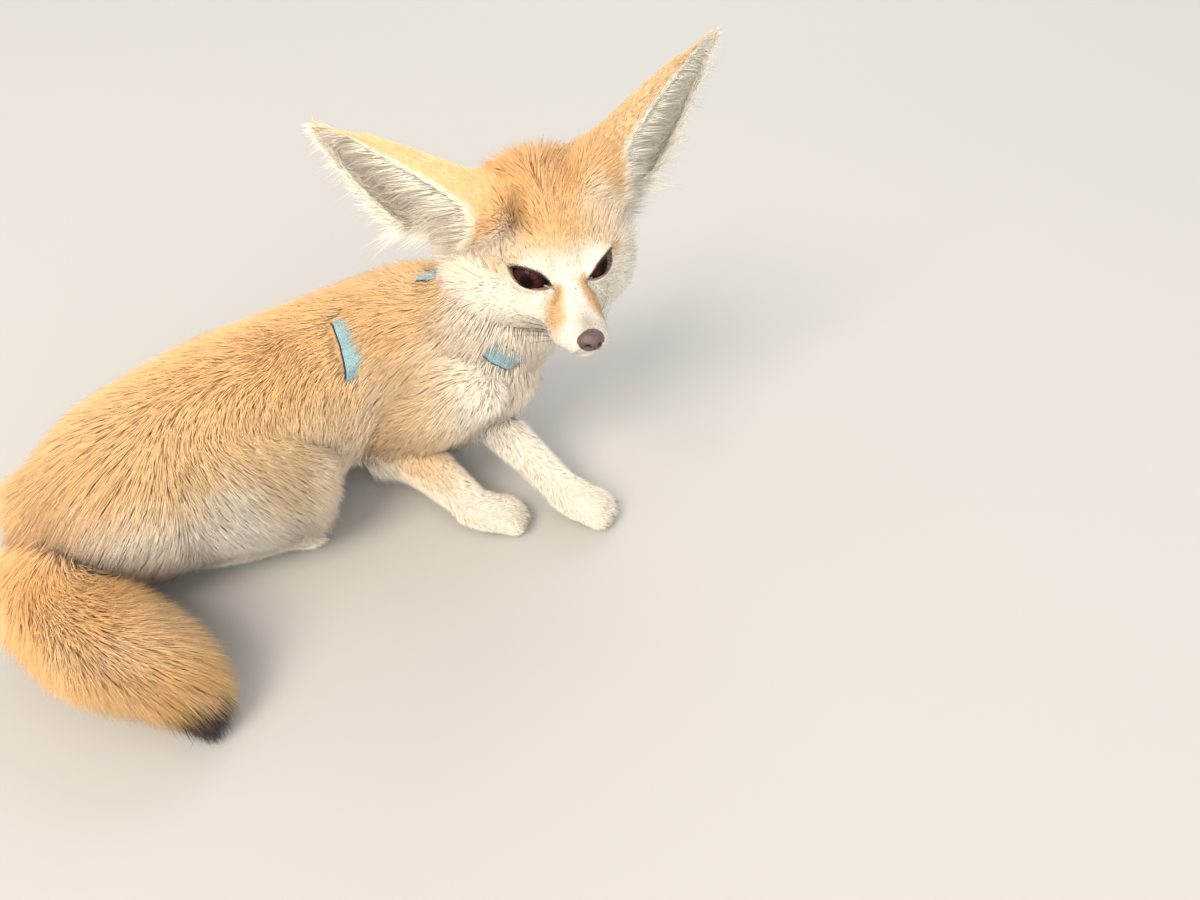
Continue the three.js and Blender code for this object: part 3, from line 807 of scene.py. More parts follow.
class Place:
    """What the coat needs to know of body points: nearest limb, share along, angle, and lie direction."""

    def __init__(self, points):
        parts = [limb_coordinates(chunk) for chunk in np.array_split(points, max(1, len(points) // 8000))]
        out, share, angle, direction = (np.concatenate(p) for p in zip(*parts))
        pick = np.arange(len(points)), out.argmin(1)
        weight = np.exp(-(out - out[pick][:, None]) / BLEND)
        weight /= weight.sum(1, keepdims=True)
        self.weight = dict(zip(LIMB_NAMES, weight.T))
        self.limb = pick[1]
        self.share = share[pick]
        self.angle = angle[pick]
        self.trunk_angle = angle[:, 0]
        self.tail_share = share[:, LIMB_NAMES.index("tail")]
        self.lie = unit((direction * weight[..., None]).sum(1))

    def of(self, *endings):
        """Total weight of the limbs whose names end so."""
        return sum(w for name, w in self.weight.items() if name.endswith(endings))


body_place = Place(body_points)
print("body points on the trunk:", int((body_place.limb == 0).sum()))

# %% [markdown]
# ## Markings
# A fennec is sand above and cream below. Four weights say how much of each colour a place has:
# sand, rust, dark and grey, on a ground of cream. Skin and coat both get their weights from these
# functions, so their markings agree. Every ramp and bell below is read the same way: the place, and
# where on it the colour begins and ends.

# %% Markings of the body
def body_markings(points, place):
    """Sand on back, flank and outer legs; cream on belly, chest, low haunch and feet; a black tail tip. The
    ramps run over millimetres of the pose's frame, and waves make their borders uneven. The columns are
    sand, rust, dark and grey."""
    x, y, z = points.T
    top = np.sin(place.trunk_angle)
    wave = 0.14 * ripple(points, 38, 3) + 0.10 * ripple(points, 11, 4)
    back = 0.42 + 0.5 * ramp(top + wave, -0.2, 0.8)
    belly = ramp(top + wave, -0.35, -0.75)
    thigh = place.of("thigh")
    thigh_sand = 0.2 + 0.65 * ramp(z + 34 * wave, 28, 74)
    low_haunch = ramp(z + 30 * wave, 78, 46) * ramp(x, -76, -100) * ramp(x, -158, -138) * ramp(y, 0, -40)
    arm_sand = ramp(z + 20 * wave, 8, 34) * ramp(x + 10 * wave, 8, -26) * 0.85
    front = ramp(x - y * 0.15 + 18 * wave, -6, 12) * ramp(z, 104, 84)
    neck_sand = ramp(y - x * 0.5 + 22 * wave, -22, 6) * 0.9
    sand = place.weight["trunk"] * back * (1 - 0.92 * front) * (1 - 0.9 * belly) + thigh * thigh_sand
    sand *= 1 - 0.95 * low_haunch
    sand += place.of("upper_arm", "forearm") * arm_sand
    sand += place.weight["neck"] * neck_sand
    sand += place.of("shank", "foot", "forepaw") * 0.05
    tail = place.weight["tail"]
    under_tail = ramp(np.sin(place.angle), -0.2, -0.8)
    # A paler patch high on the tail, two thirds along, is a painted sheen.
    light = 0.2 * bump(place.tail_share, 0.66, 0.07) * bump(np.sin(place.angle), 0.75, 0.35)
    sand += tail * (0.95 - 0.3 * under_tail - light + 0.5 * wave)
    tip = ramp(place.tail_share + 0.25 * wave, 0.83, 0.93)
    edge = 0.12 * ramp(place.tail_share, 0.5, 0.7) * ramp(np.cos(place.angle), 0.55, 0.95)
    dark = tail * np.clip(tip + edge, 0, 1)
    rust = place.weight["trunk"] * (0.06 + 0.16 * ramp(top + wave, 0.4, 1.0)) + tail * (0.24 + 0.6 * wave)
    grey = 0.12 * thigh * ramp(x, -90, -72) * ramp(z, 34, 16)
    return np.clip(np.stack([sand, rust, dark, grey], -1), 0, 1)


body_marks = body_markings(body_points, body_place)
print("sand on the body, on average:", round(body_marks[:, 0].mean(), 2))

# %% Markings of the head and ears
TEAR_FROM = np.array([8.5, 6.2, -3.0])
TEAR_TO = np.array([16.0, 9.6, -11.8])


def beside_line(points, start, end):
    """Distance of points from the line between two points, and the share along it."""
    gap = end - start
    share = np.clip(dot(points - start, gap) / dot(gap, gap), 0, 1)
    return np.linalg.norm(points - start - share[..., None] * gap, axis=-1), share


def head_markings(points):
    """In the head's frame, with millimetres again: orange crown, cream brows and cheeks, rust tear marks,
    pale blaze, grey nose top, black round the eyes. The columns are sand, rust, dark and grey."""
    x, y, z = points.T
    side = abs(y)
    wave = 0.5 * ripple(points, 16, 5) + 0.3 * ripple(points, 5, 6)
    reach = 42 - 9 * ramp(x, -36, -18)
    crown = ramp(z - 0.35 * x + 2.2 * wave, -5, 17) * ramp(side + 3 * wave, reach, reach - 14)
    blaze = ramp(x, -7, 14)
    sand = crown * (1 - 0.9 * spot(points, "brow")) * (1 - 0.95 * blaze)
    sand += 0.28 * ramp(z, -16, 4) * ramp(x, -10, -24) * (1 - crown)
    streak = spot(points, "outer streak")
    sand += 0.55 * streak
    away, down = beside_line(folded(points), TEAR_FROM, TEAR_TO)
    tear = ramp((away + 1.6 * wave) / (0.62 + 0.5 * down), 8.2, 1.2) * ramp(side, 1.0, 5.5)
    sand += 0.8 * tear
    rust = 0.4 * tear + 0.45 * crown * ramp(x, -2, -30) + 0.3 * streak
    smudge = bump(side, 0, 4.4) * bump(x, 26, 4.8) * ramp(z, -17, -11)
    grey = 0.85 * smudge
    dark = 0.12 * smudge + 0.5 * mouth_share(x, z) + 0.35 * spot(points, "whisker roots")
    nape = ramp(x, -40, -56)
    sand = np.maximum(sand, nape * ramp(z, -8, 6))
    for hand in (-1, 1):
        g, c, u, gap, above = eye_places(points, hand)
        line = np.where(above > 0, ramp(gap, 1.25, 0.6), 0.9 * ramp(gap, 0.7, 0.2))
        corner_in = bump(c, -HALF_OPENING - 1.0, 1.3) * bump(u, -1.6, 0.9)
        corner_out = bump(c, HALF_OPENING + 1.5, 2.2) * bump(u, 0.5, 0.8)
        near = ramp(abs(g), 9, 6) * ramp(gap, 8, 5)
        dark = np.maximum(dark, np.maximum(line, 0.7 * np.maximum(corner_in, corner_out)) * near)
    return np.clip(np.stack([sand, rust, dark, grey], -1), 0, 1)


def ear_markings(s, a, hollow):
    """Sand to rust on the back of an ear, cream rims, cream low down in front, and a cream hollow with a
    touch of grey."""
    rim = ramp(abs(a), 0.82 + 0.08 * (1 - hollow), 0.94 + 0.03 * (1 - hollow))
    rim = np.maximum(rim, 0.8 * ramp(-a, 0.45, 0.7) * ramp(s, 0.2, 0.06))
    sand = (1 - hollow) * (1 - 0.9 * rim) * (0.95 - 0.1 * s)
    rust = (1 - hollow) * (1 - rim) * (0.1 + 0.22 * ramp(s, 0.6, 0.0))
    grey = hollow * (0.1 - 0.08 * ramp(abs(a), 0.65, 0.95))
    return np.stack([sand, rust, 0 * sand, grey], -1)


# The ears' skin is paler than their hair, and the last two points are the grid's caps.
SKIN_SHARE = [0.85, 0.6, 1, 0.5]
ear_marks = ear_markings(EAR_S, EAR_A, EAR_HOLLOW).reshape(-1, 4) * SKIN_SHARE
ear_marks = np.vstack([ear_marks, np.zeros((2, 4))])
skin_marks = np.vstack([body_marks, head_markings(head_points)] + [ear_marks] * 2)
set_attribute(skin, "markings", skin_marks)
print("marked points:", len(skin_marks))

# %% [markdown]
# ## Fur and skin materials
# Hair is dull, with a soft sheen, no metal, and an index of refraction of 1.45. One helper adds a
# node with its settings and links. The same chain of colour mixes serves skin and coat: cream first,
# then sand, rust, grey and dark by their weights.

# %% Material helpers
def add(tree, kind, settings=None, **links):
    """A node with its settings, and its sockets set or linked by name; i0, i1 are sockets by number."""
    node = tree.nodes.new(kind)
    for key, value in (settings or {}).items():
        setattr(node, key, value)
    for key, value in links.items():
        numbered = key[0] == "i" and key[1:].isdigit()
        socket = node.inputs[int(key[1:]) if numbered else key.replace("_", " ")]
        if isinstance(value, bpy.types.NodeSocket):
            tree.links.new(value, socket)
        else:
            socket.default_value = value
    return node


def material(name):
    """An empty material with its Principled shader, and the tree that holds it."""
    made = bpy.data.materials.new(name)
    made.use_nodes = True
    tree = made.node_tree
    return made, tree, tree.nodes["Principled BSDF"]


def mix(tree, share, first, second):
    """The first colour turning into the second by a share."""
    node = add(tree, "ShaderNodeMix", {"data_type": "RGBA"}, i0=share, i6=first, i7=second)
    return node.outputs[2]


CREAM, SAND, RUST = linear("F8EFDD"), linear("EDC079"), linear("D08B44")
DARK, GREY = linear("2E221C"), linear("BCB2A3")

print("sand is", np.round(SAND, 3))


def marked_colour(tree):
    """The coat's colour from the weights that the piece carries."""
    weights = add(tree, "ShaderNodeAttribute", {"attribute_name": "markings"})
    split = add(tree, "ShaderNodeSeparateColor", Color=weights.outputs["Color"])
    colour = mix(tree, split.outputs[0], CREAM, SAND)
    colour = mix(tree, split.outputs[1], colour, RUST)
    colour = mix(tree, weights.outputs["Alpha"], colour, GREY)
    return mix(tree, split.outputs[2], colour, DARK)


# %% Fur and skin
def fur_material():
    """Hair: its own colour, lighter or darker from tuft to tuft, with painted shade at the root and painted
    light and shade on some parts.
    """
    made, tree, shader = material("fox_hair")
    tone = add(tree, "ShaderNodeAttribute", {"attribute_name": "tone"}).outputs["Fac"]
    shade = add(tree, "ShaderNodeHueSaturation", Color=marked_colour(tree), Value=tone)
    tree.links.new(shade.outputs[0], shader.inputs["Base Color"])
    shader.inputs["Roughness"].default_value = 0.6
    shader.inputs["IOR"].default_value = 1.45
    shader.inputs["Specular IOR Level"].default_value = 0.3
    shader.inputs["Sheen Weight"].default_value = 0.12
    shader.inputs["Sheen Roughness"].default_value = 0.5
    return made


def skin_material():
    """Skin under thin hair: the coat's colours, darker because less light gets down to it, with a fine nap
    of about 0.6 mm as bump."""
    made, tree, shader = material("fox_skin_nap")
    where = add(tree, "ShaderNodeTexCoord").outputs["Object"]
    nap = add(tree, "ShaderNodeTexNoise", None, Vector=where, Scale=1100.0, Detail=4.0)
    tint = mix(tree, 0.08, marked_colour(tree), linear("B9806A"))
    shade = add(tree, "ShaderNodeHueSaturation", Color=tint, Value=0.72)
    tree.links.new(shade.outputs[0], shader.inputs["Base Color"])
    raised = add(tree, "ShaderNodeBump", None, Height=nap.outputs["Fac"], Distance=0.0004, Strength=0.6)
    tree.links.new(raised.outputs[0], shader.inputs["Normal"])
    shader.inputs["Roughness"].default_value = 0.75
    shader.inputs["IOR"].default_value = 1.4
    return made


FUR = fur_material()
put_on(skin, skin_material(), "coat_cream", *FLESH)
print("fur:", FUR.name)

# %% [markdown]
# ## Roots of the coat
# Tufts are scattered evenly over the skin: each triangle gets its share by area, and a point inside
# it is picked with random weights. Roots that lie inside another part, such as the neck's under the
# skull, are dropped. The generator is seeded, so every run gives the same coat.

# %% Scatter roots
def scatter(points, faces, density, seed):
    """Roots on a surface: place, and for each the corners and weights that made it. density is in tufts
    for each square millimetre at each point."""
    rng = np.random.default_rng(seed)
    triangles = np.vstack([g if g.shape[1] == 3 else np.vstack([g[:, :3], g[:, [0, 2, 3]]]) for g in faces])
    a, b, c = (points[triangles[:, k]] for k in range(3))
    cross = np.cross(b - a, c - a)
    area = np.linalg.norm(cross, axis=1) / 2
    wanted = area * density[triangles].mean(1)
    count = rng.poisson(wanted)
    pick = np.repeat(np.arange(len(triangles)), count)
    r = np.sqrt(rng.random(len(pick)))[:, None]
    q = rng.random(len(pick))[:, None]
    weights = np.hstack([1 - r, r * (1 - q), r * q])
    corners = triangles[pick]
    place = (points[corners] * weights[..., None]).sum(1)
    return place, corners, weights


def point_normals(points, faces):
    """Normals at points: the sum of the normals of the faces round each."""
    normals = np.zeros_like(points)
    for group in faces:
        corner = [points[group[:, k]] for k in range(group.shape[1])]
        if len(corner) == 3:
            face = np.cross(corner[1] - corner[0], corner[2] - corner[0])
        else:
            face = np.cross(corner[2] - corner[0], corner[3] - corner[1])
        for k in range(group.shape[1]):
            for axis in range(3):
                normals[:, axis] += np.bincount(group[:, k], face[:, axis], len(points))
    return unit(normals)


def carried(values, corners, weights):
    """Values at points, carried to roots."""
    picked = values[corners]
    return (picked * (weights if values.ndim == 1 else weights[..., None])).sum(1)


square = np.array([[0, 0, 0], [10, 0, 0], [10, 10, 0], [0, 10, 0]])
trial = scatter(square, [np.array([[0, 1, 2, 3]])], np.full(4, 2.0), 1)[0]
print("roots on a square centimetre, at 2 to the square millimetre:", len(trial))

# %% [markdown]
# ## A tuft
# A tuft is a thin closed spindle: a point at the root, a ring of three corners, and a point at the
# tip. Six faces are enough, because there are about a quarter of a million of them. Its middle
# follows a curve that leaves the skin at an angle and bends down over the body. Tips drift together
# in small groups, which gives the locks that real fur falls into.

# %% Tufts
# Corner 0 of a tuft is its root, 1 to 3 are its ring, and 4 is its tip. SINK is how deep in mm the root
# lies in the skin, PATCH the size of a tuft on the OFBake map, and LOCKS the sizes of locks in mm with
# how strongly each draws the tips.
RING_CORNERS = np.array([[-1.0, -0.3], [1.0, -0.3], [0.0, 0.6]])
RING_SHARE = 0.36
TUFT_SHARES = np.array([0, RING_SHARE, RING_SHARE, RING_SHARE, 1])
TUFT_FACES = np.array([[1, 2, 0], [2, 3, 0], [3, 1, 0], [4, 2, 1], [4, 3, 2], [4, 1, 3]])
TUFT_ACROSS = np.array([0.5, 0, 1, 0.5, 0.5])
SINK = 0.5
PATCH = 0.003
LOCKS = ((3.2, 0.75), (9.0, 0.45))


def scattered(points, seed):
    """A number from 0 to 1 for each point that looks random but depends only on the point."""
    return np.modf(abs(np.sin(points @ np.array([12.99, 78.23, 37.72]) + seed) * 43758.5453))[0]


def lock_middles(points, size, seed):
    """The middle of the lock that each point belongs to: the nearest of a set of middles, one in each
    cube of the given size at a random place, and a random number for the lock."""
    home = np.floor(points / size)
    best = np.full(len(points), np.inf)
    middle = np.zeros_like(points)
    number = np.zeros(len(points))
    steps = np.arange(-1, 2)
    for step in np.stack(np.meshgrid(steps, steps, steps), -1).reshape(-1, 3):
        cube = home + step
        spot = (cube + np.stack([scattered(cube, seed + k) for k in range(3)], -1)) * size
        gap = dot(spot - points, spot - points)
        nearer = gap < best
        best[nearer] = gap[nearer]
        middle[nearer] = spot[nearer]
        number[nearer] = scattered(cube, seed + 9)[nearer]
    return middle, number


def spindles(root, normal, start, bend, length, width):
    """Points (tufts, corners, 3) of all tufts. The middle of a tuft at share s is
    root + start * length * s + bend * s^2, and its ring stands square to start."""
    across = unit(np.cross(start, normal))
    over = unit(np.cross(across, start))
    s = TUFT_SHARES[:, None]
    foot = (root - normal * SINK)[:, None]
    points = foot + (start * length[:, None])[:, None] * s + bend[:, None] * s * s
    ring = across[:, None] * RING_CORNERS[:, :1] + over[:, None] * RING_CORNERS[:, 1:]
    points[:, 1:4] += ring * width[:, None, None]
    return points


def lying(normal, lie, length, height, outward):
    """Start and bend of tufts that leave along the lie and rise so that their tips stand a height above
    the skin; outward over 1 makes them leave more steeply and bend down more."""
    along = unit(lie - normal * dot(lie, normal)[:, None])
    rise = np.clip(outward * height / length, 0.05, 0.9)[:, None]
    start = along * np.sqrt(1 - rise**2) + normal * rise
    return start, -normal * (rise * length[:, None] - height[:, None])


def gathered(normal, start, halfway, pull, seed):
    """How far tips drift towards the middles of their locks, square to the hair and along the skin, and a
    tone for each lock."""
    drift = np.zeros_like(halfway)
    tone = 1.0
    for size, share in LOCKS:
        middle, number = lock_middles(halfway, size, seed)
        gap = middle - halfway
        gap -= normal * dot(gap, normal)[:, None]
        gap -= start * dot(gap, start)[:, None]
        drift += gap * (pull * share)[:, None]
        tone = tone * (1 + 0.09 * (number - 0.5))
    return drift, tone


print("triangles in a tuft:", len(TUFT_FACES))

# %% Coat pieces
BUDGET = 190000


def coat_piece(name, coat, slot, seed):
    """The pieces of one coat region from a dictionary of root arrays, each with its colours and its OFBake
    map. A region with too many triangles for one piece is split along its map."""
    rng = np.random.default_rng(seed)
    size = len(coat["root"])
    order = np.argsort(coat["uv"][:, 1], kind="stable")
    parts = int(np.ceil(size * len(TUFT_FACES) / BUDGET))
    for index, part in enumerate(np.array_split(order, parts)):
        c = {key: value[part] for key, value in coat.items()}
        root, normal, length = c["root"], c["normal"], c["length"]
        start = unit(c["start"] + rng.normal(0, 1, root.shape) * c["stray"][:, None])
        halfway = root + c["start"] * length[:, None] * 0.5
        drift, tone = gathered(normal, c["start"], halfway, c["gather"], seed)
        points = above_floor(spindles(root, normal, start, c["bend"] + drift, length, c["width"]))
        count, each = points.shape[:2]
        faces = (TUFT_FACES[None] + np.arange(count)[:, None, None] * each).reshape(-1, 3)
        piece = make_mesh(name if parts == 1 else f"{name}_{index + 1}", points.reshape(-1, 3), [faces])
        s = TUFT_SHARES
        # Each tuft is painted darker towards its root, as shade.
        set_attribute(piece, "tone", ((c["tone"] * tone)[:, None] * (0.9 + 0.14 * s)).ravel())
        marks = c["marks"][:, None] * (1 - (1 - s[:, None]) * [0.35, 0.35, 0.0, 0.0])
        marks[..., 2] = np.maximum(marks[..., 2], c["guard_hairs_and_painted_shadow"][:, None] * ramp(s, 0.3, 1))
        set_attribute(piece, "markings", marks.reshape(-1, 4))
        low, high = c["uv"].min(0), c["uv"].max(0)
        patch = np.stack([TUFT_ACROSS, s], -1) * PATCH
        uv = (((c["uv"] - low) / (high - low))[:, None] * (1 - PATCH) + patch).reshape(-1, 2)
        layer = piece.data.uv_layers.new(name="OFBake")
        layer.uv.foreach_set("vector", uv[faces.ravel()].astype(np.float32).ravel())
        put_on(piece, FUR, slot)


def only(coat, keep):
    """The roots of a coat that a test keeps."""
    return {key: value[keep] for key, value in coat.items()}


print("most tufts in a piece:", BUDGET // len(TUFT_FACES))

# %% [markdown]
# ## Where the harness lies
# The harness is a loop round the neck, a girth band behind the forelegs and a strap along the back
# between them. Hair hides most of it. It shows behind the right shoulder, at the nape and on the
# chest, so each band has an exposure from 0 to 1 by the angle round the body. The coat has to know
# this before the tufts are made: where a band shows, hardly any hair grows through it, and hair from
# in front of it lies over its front edge.

# %% Bands and their exposure
# Each band: the limb it goes round, the share along it, how it leans, how deep it lies in the coat
# where it is hidden and where it is shown, the middle and reach in degrees of each stretch that
# shows, and the share of hair that still grows there. BAND's overlap is how far hair from in front
# lies over a band, and the strap is raised where it comes out at the withers, all in mm.
BAND = {"thickness": 1.4, "width": 11, "overlap": 8.5}
GIRTH = {"table": TRUNK, "at": 0.475, "lean": -0.3, "hidden": 6.4, "shown": 3.6,
         "shows": [(54, 20)], "cover": 0.1}
COLLAR = {"table": NECK, "at": 0.36, "lean": -0.12, "hidden": 8.6, "shown": 6.2,
          "shows": [(84, 10), (-22, 19)], "cover": 0.5}
BACK_STRAP = {"from": 0.485, "to": 0.66, "width": 10, "hidden": 6.8, "raised": 2.8}


def exposure(band, a):
    """How much of a band shows at angle a: a bell for each listed middle and reach in degrees."""
    turn = [np.angle(np.exp(1j * (a - math.radians(m)))) / math.radians(w) for m, w in band["shows"]]
    return np.clip(sum(ramp(abs(t), 1.25, 0.7) for t in turn), 0, 1)


def beside_band(points, band):
    """Distance of points ahead of a band, along its limb, and the angle round the limb."""
    middle, along, side, top, wide, high = (v[0] for v in stations_at(band["table"], np.array([band["at"]])))
    gap = points - middle
    a = np.arctan2(dot(gap, top) / high, dot(gap, side) / wide)
    return dot(gap, along) + band["lean"] * np.sin(a) * high, a


print("bands:", [len(band["shows"]) for band in (GIRTH, COLLAR)])

# %% [markdown]
# ## The coat of the body
# On trunk and flanks the hair is 12 to 16 mm long and lies back and down. On the tail it is longer
# and stands off into a brush, on the legs it is short, and on the feet shorter still.

# %% Roots of the body's coat
def body_density(place):
    """Tufts for each square millimetre: close on small parts and on the tail, wider elsewhere."""
    lower = place.of("forearm", "shank")
    return 1.4 + 0.7 * place.of("forepaw", "foot") + 0.3 * lower + 0.9 * place.weight["tail"]


def inside_head(points):
    """True for points of the head's frame that lie inside its skin."""
    x, y, z = points.T
    wide, level, top, bottom = (np.interp(x, HEAD_X, [row[k] for row in HEAD]) for k in (1, 2, 3, 4))
    depth = head_coat_depth(x, np.arctan2(z - level, y))
    rise = np.where(z > level, top - level, level - bottom) - depth - 1.5
    within = (y / (wide - depth - 1.5)) ** 2 + ((z - level) / rise) ** 2 < 1
    return within & (x > HEAD_X[0]) & (x < HEAD_X[-1])


LEAST_LEVEL = 1.5
body_normals = point_normals(body_points, [body_faces])
root, corners, weights = scatter(body_points, [body_faces], body_density(body_place), 11)
normal = unit(carried(body_normals, corners, weights))
on_floor = (root[:, 2] < LEAST_LEVEL) & (normal[:, 2] < -0.6)
keep = ~inside_head(to_head(root)) & ~on_floor
root, normal = root[keep], normal[keep]
place = Place(root)
size = len(root)
print("body roots:", size)

# %% Lie and length of the body's coat
TAIL_ROOT = np.array([-158, -86, 46])
TAIL_WAY = np.array([-0.35, -0.75, -0.6])
# Length of the hair and half width of a tuft in millimetres, by the ending of the limb's name.
HAIR = {
    "trunk": (13.5, 0.18), "neck": (16, 0.18), "tail": (21, 0.17), "thigh": (13.5, 0.18),
    "upper_arm": (11.5, 0.18), "forearm": (8, 0.17), "shank": (8, 0.17), "forepaw": (5, 0.15),
    "foot": (5, 0.15),
}


def near_tail(root, place):
    """1 on the rump and haunch close to the root of the tail, falling to 0 over 30 mm."""
    return ramp(np.linalg.norm(root - TAIL_ROOT, axis=1), 54, 24) * (1 - place.weight["tail"])


def fringed(root, place):
    """1 where long hair hangs from the front of the knee and from the elbow."""
    x, y, z = root.T
    knee = bump(x, -74, 17) * ramp(y, -20, -45) * ramp(z, 42, 18) * place.of("thigh")
    elbow = bump(x, -52, 12) * bump(y, -16, 14) * ramp(z, 44, 16)
    return np.clip(knee + elbow, 0, 1)


def body_lie(root, place):
    """Along each limb, with some fall towards the floor on the flanks and haunches; round the root of the
    tail the hair of the rump runs down on to it."""
    fall = 0.7 * place.weight["trunk"] + 0.95 * place.of("thigh") + 0.6 * place.weight["neck"]
    lie = place.lie + swirl(root, 34, 20) * 0.2 - np.outer(fall, UP)
    near = near_tail(root, place)[:, None]
    return unit(lie) * (1 - near) + TAIL_WAY * near


rng = np.random.default_rng(12)
length, width = (sum(place.of(name) * row[k] for name, row in HAIR.items()) for k in (0, 1))
depth = sum(place.weight[k] * depth_at(depths, place.share) for k, (_, depths, _) in LIMBS.items())
tail, trunk_and_neck = place.weight["tail"], place.of("trunk", "neck")
fringe, near = fringed(root, place), near_tail(root, place)
length *= rng.uniform(0.75, 1.2, size) * (1 + 1.1 * fringe) * (1 + 0.6 * near)
length *= 1 - 0.3 * tail * ramp(place.tail_share, 0.8, 1)
height = depth * rng.uniform(0.66, 1.06, size) * (1 + 0.35 * near)
start, bend = lying(normal, body_lie(root, place), length, height, 1.45 - 0.25 * tail)
print("longest hair on the body, mm:", round(length.max(), 1))

# %% Colour of the body's coat
marks = body_markings(root, place)
marks[:, 0] *= 1 - 0.8 * fringe
marks[:, 3] = np.maximum(marks[:, 3], 0.2 * fringe)
tail_edge = ramp(place.tail_share, 0.45, 0.7)
black_tips = 0.03 * place.weight["trunk"] + 0.06 * ramp(normal[:, 2], 0.2, 0.9) * trunk_and_neck
black_tips += (0.01 + 0.06 * tail_edge) * tail + 0.08 * fringe
legs = place.of("forearm", "shank", "forepaw", "foot")
body_coat = {
    "root": root, "normal": normal, "start": start, "bend": bend, "length": length, "width": width,
    "stray": 0.06 + 0.04 * fringe, "gather": 0.13 - 0.08 * tail, "marks": marks, "limb": place.limb,
    "guard_hairs_and_painted_shadow": 0.7 * (rng.random(size) < black_tips),
    # Legs and tail get a lighter tone: painted light against the shade between their tufts.
    "tone": rng.normal(1.0 + 0.06 * legs + 0.05 * tail, 0.05 - 0.02 * tail),
}
print("black tips:", int((body_coat["guard_hairs_and_painted_shadow"] > 0).sum()))

# %% The coat round the harness
for band in (GIRTH, COLLAR):
    ahead, a = beside_band(root, band)
    shows = exposure(band, a) * (trunk_and_neck > 0.4)
    half = BAND["width"] / 2
    body_coat["length"] = np.where(
        (shows > 0.3) & (ahead > half - BAND["overlap"]) & (ahead < 25),
        np.clip(ahead - half + BAND["overlap"] * rng.random(size) + 1.5, 2.5, body_coat["length"]),
        body_coat["length"],
    )
    on_band = (ahead > -half - 0.5) & (ahead < half - 0.72 * BAND["overlap"])
    bare = shows * (1 - band["cover"]) > rng.random(size)
    body_coat["drop"] = body_coat.get("drop", 0) + bare * on_band
shorter = body_coat["length"] / length
body_coat["bend"] = body_coat["bend"] * shorter[:, None]
body_coat = only(body_coat, body_coat.pop("drop") == 0)
print("roots left out for the bands:", size - len(body_coat["root"]))

# %% Split the body coat
limb_of = np.array(LIMB_NAMES)[body_coat["limb"]]
body_coat_place = Place(body_coat["root"])
GROUPS = {
    "coat_trunk": (("trunk",), "coat_sand"),
    "coat_neck": (("neck",), "coat_cream"),
    "coat_tail": (("tail",), "coat_russet"),
    "coat_forelegs": (("upper_arm", "forearm", "forepaw"), "coat_cream"),
    "coat_hindlegs": (("thigh", "shank", "foot"), "coat_sand"),
}
unwrap = np.stack([body_coat_place.angle / (2 * np.pi) + 0.5, body_coat_place.share], -1) * 0.94 + 0.03
for index, (name, (endings, slot)) in enumerate(GROUPS.items()):
    member = np.array([limb.endswith(endings) for limb in limb_of])
    ids = np.unique(body_coat["limb"][member], return_inverse=True)[1]
    across = 1 if ids.max() == 0 else 2
    group = only(body_coat, member)
    group["uv"] = unwrap[member] + np.stack([ids % across, ids // across], -1)
    coat_piece(name, group, slot, 40 + index)

# %% [markdown]
# ## The coat of the head
# The face has the shortest hair: about 2 mm on the muzzle, 4 on the brow, and then the long ruff of
# the cheeks, up to 16 mm, which gives a fennec its wide face. It lies back from the nose, up over
# the brow, and out along the cheeks.

# %% The feet of the ears
# reach: the distance in mm at which the ear begins to turn the hair, and at which it has turned it.
# above and out: how much higher up the ear, and how far outside its skin, the hair aims. floor and
# below: the cup's floor as a share of its width and depth, and how far below the ear's base it is
# looked for. parts: the roots are taken in so many parts, to save memory.
EAR_FOOT = {"reach": (15, 2), "above": 0.14, "out": 1.5, "floor": 0.58, "below": 12, "parts": 24}
FOOT_S, FOOT_A = np.meshgrid(np.linspace(-0.02, 0.3, 14), np.linspace(-1, 1, 41), indexing="ij")


def cup_floor(root, pose):
    """1 for head roots inside an oval about the base of an ear."""
    base, axis, across, front = ear_frame(pose)
    wide, deep = EAR["half_width"] * EAR_FOOT["floor"], EAR["depth"] * EAR_FOOT["floor"]
    out = np.hypot(dot(root - base, across) / wide, dot(root - base, front) / deep)
    return ramp(out, 1.0, 0.8) * (dot(root - base, axis) > -EAR_FOOT["below"])


def near_ears(root):
    """How near head roots are to the foot of an ear, from 0 to 1, the way up on to it, its marks there, and
    1 for roots on the floor of its cup."""
    near, aim, marks = np.zeros(len(root)), np.zeros((len(root), 3)), np.zeros((len(root), 4))
    colour = ear_markings(FOOT_S, FOOT_A, 0 * FOOT_S).reshape(-1, 4)
    for pose in EAR_POSE.values():
        foot = ear_sheet(pose, FOOT_S, FOOT_A, 0).reshape(-1, 3)
        above = ear_sheet(pose, FOOT_S + EAR_FOOT["above"], FOOT_A, -EAR_FOOT["out"]).reshape(-1, 3)
        for part in np.array_split(np.arange(len(root)), EAR_FOOT["parts"]):
            gap = np.linalg.norm(root[part, None] - foot, axis=-1)
            best = gap.argmin(1)
            share = ramp(gap.min(1), *EAR_FOOT["reach"])
            part, best, share = (v[share > near[part]] for v in (part, best, share))
            near[part], marks[part] = share, colour[best]
            aim[part] = unit(above[best] - root[part])
    floor = np.maximum(*(cup_floor(root, pose) for pose in EAR_POSE.values()))
    return near, aim, marks, floor


print("places on the foot of an ear:", FOOT_S.size)

# %% Roots of the head's coat
NOSE_PLACE = np.array([31.2, 0, -15.6])
NOSE_HOLE = np.array([4.2, 5.4, 4.1])
LEAST_EYE_GAP = 0.45
FRONT_OF_MUZZLE = 34


def head_density(x):
    """Tufts for each square millimetre: closest on the muzzle, wider on the long fur behind."""
    return 2.5 + 2.7 * ramp(x, -24, -2) + 2.0 * ramp(x, 4, 14) + 3 * ramp(x, 24, 29)


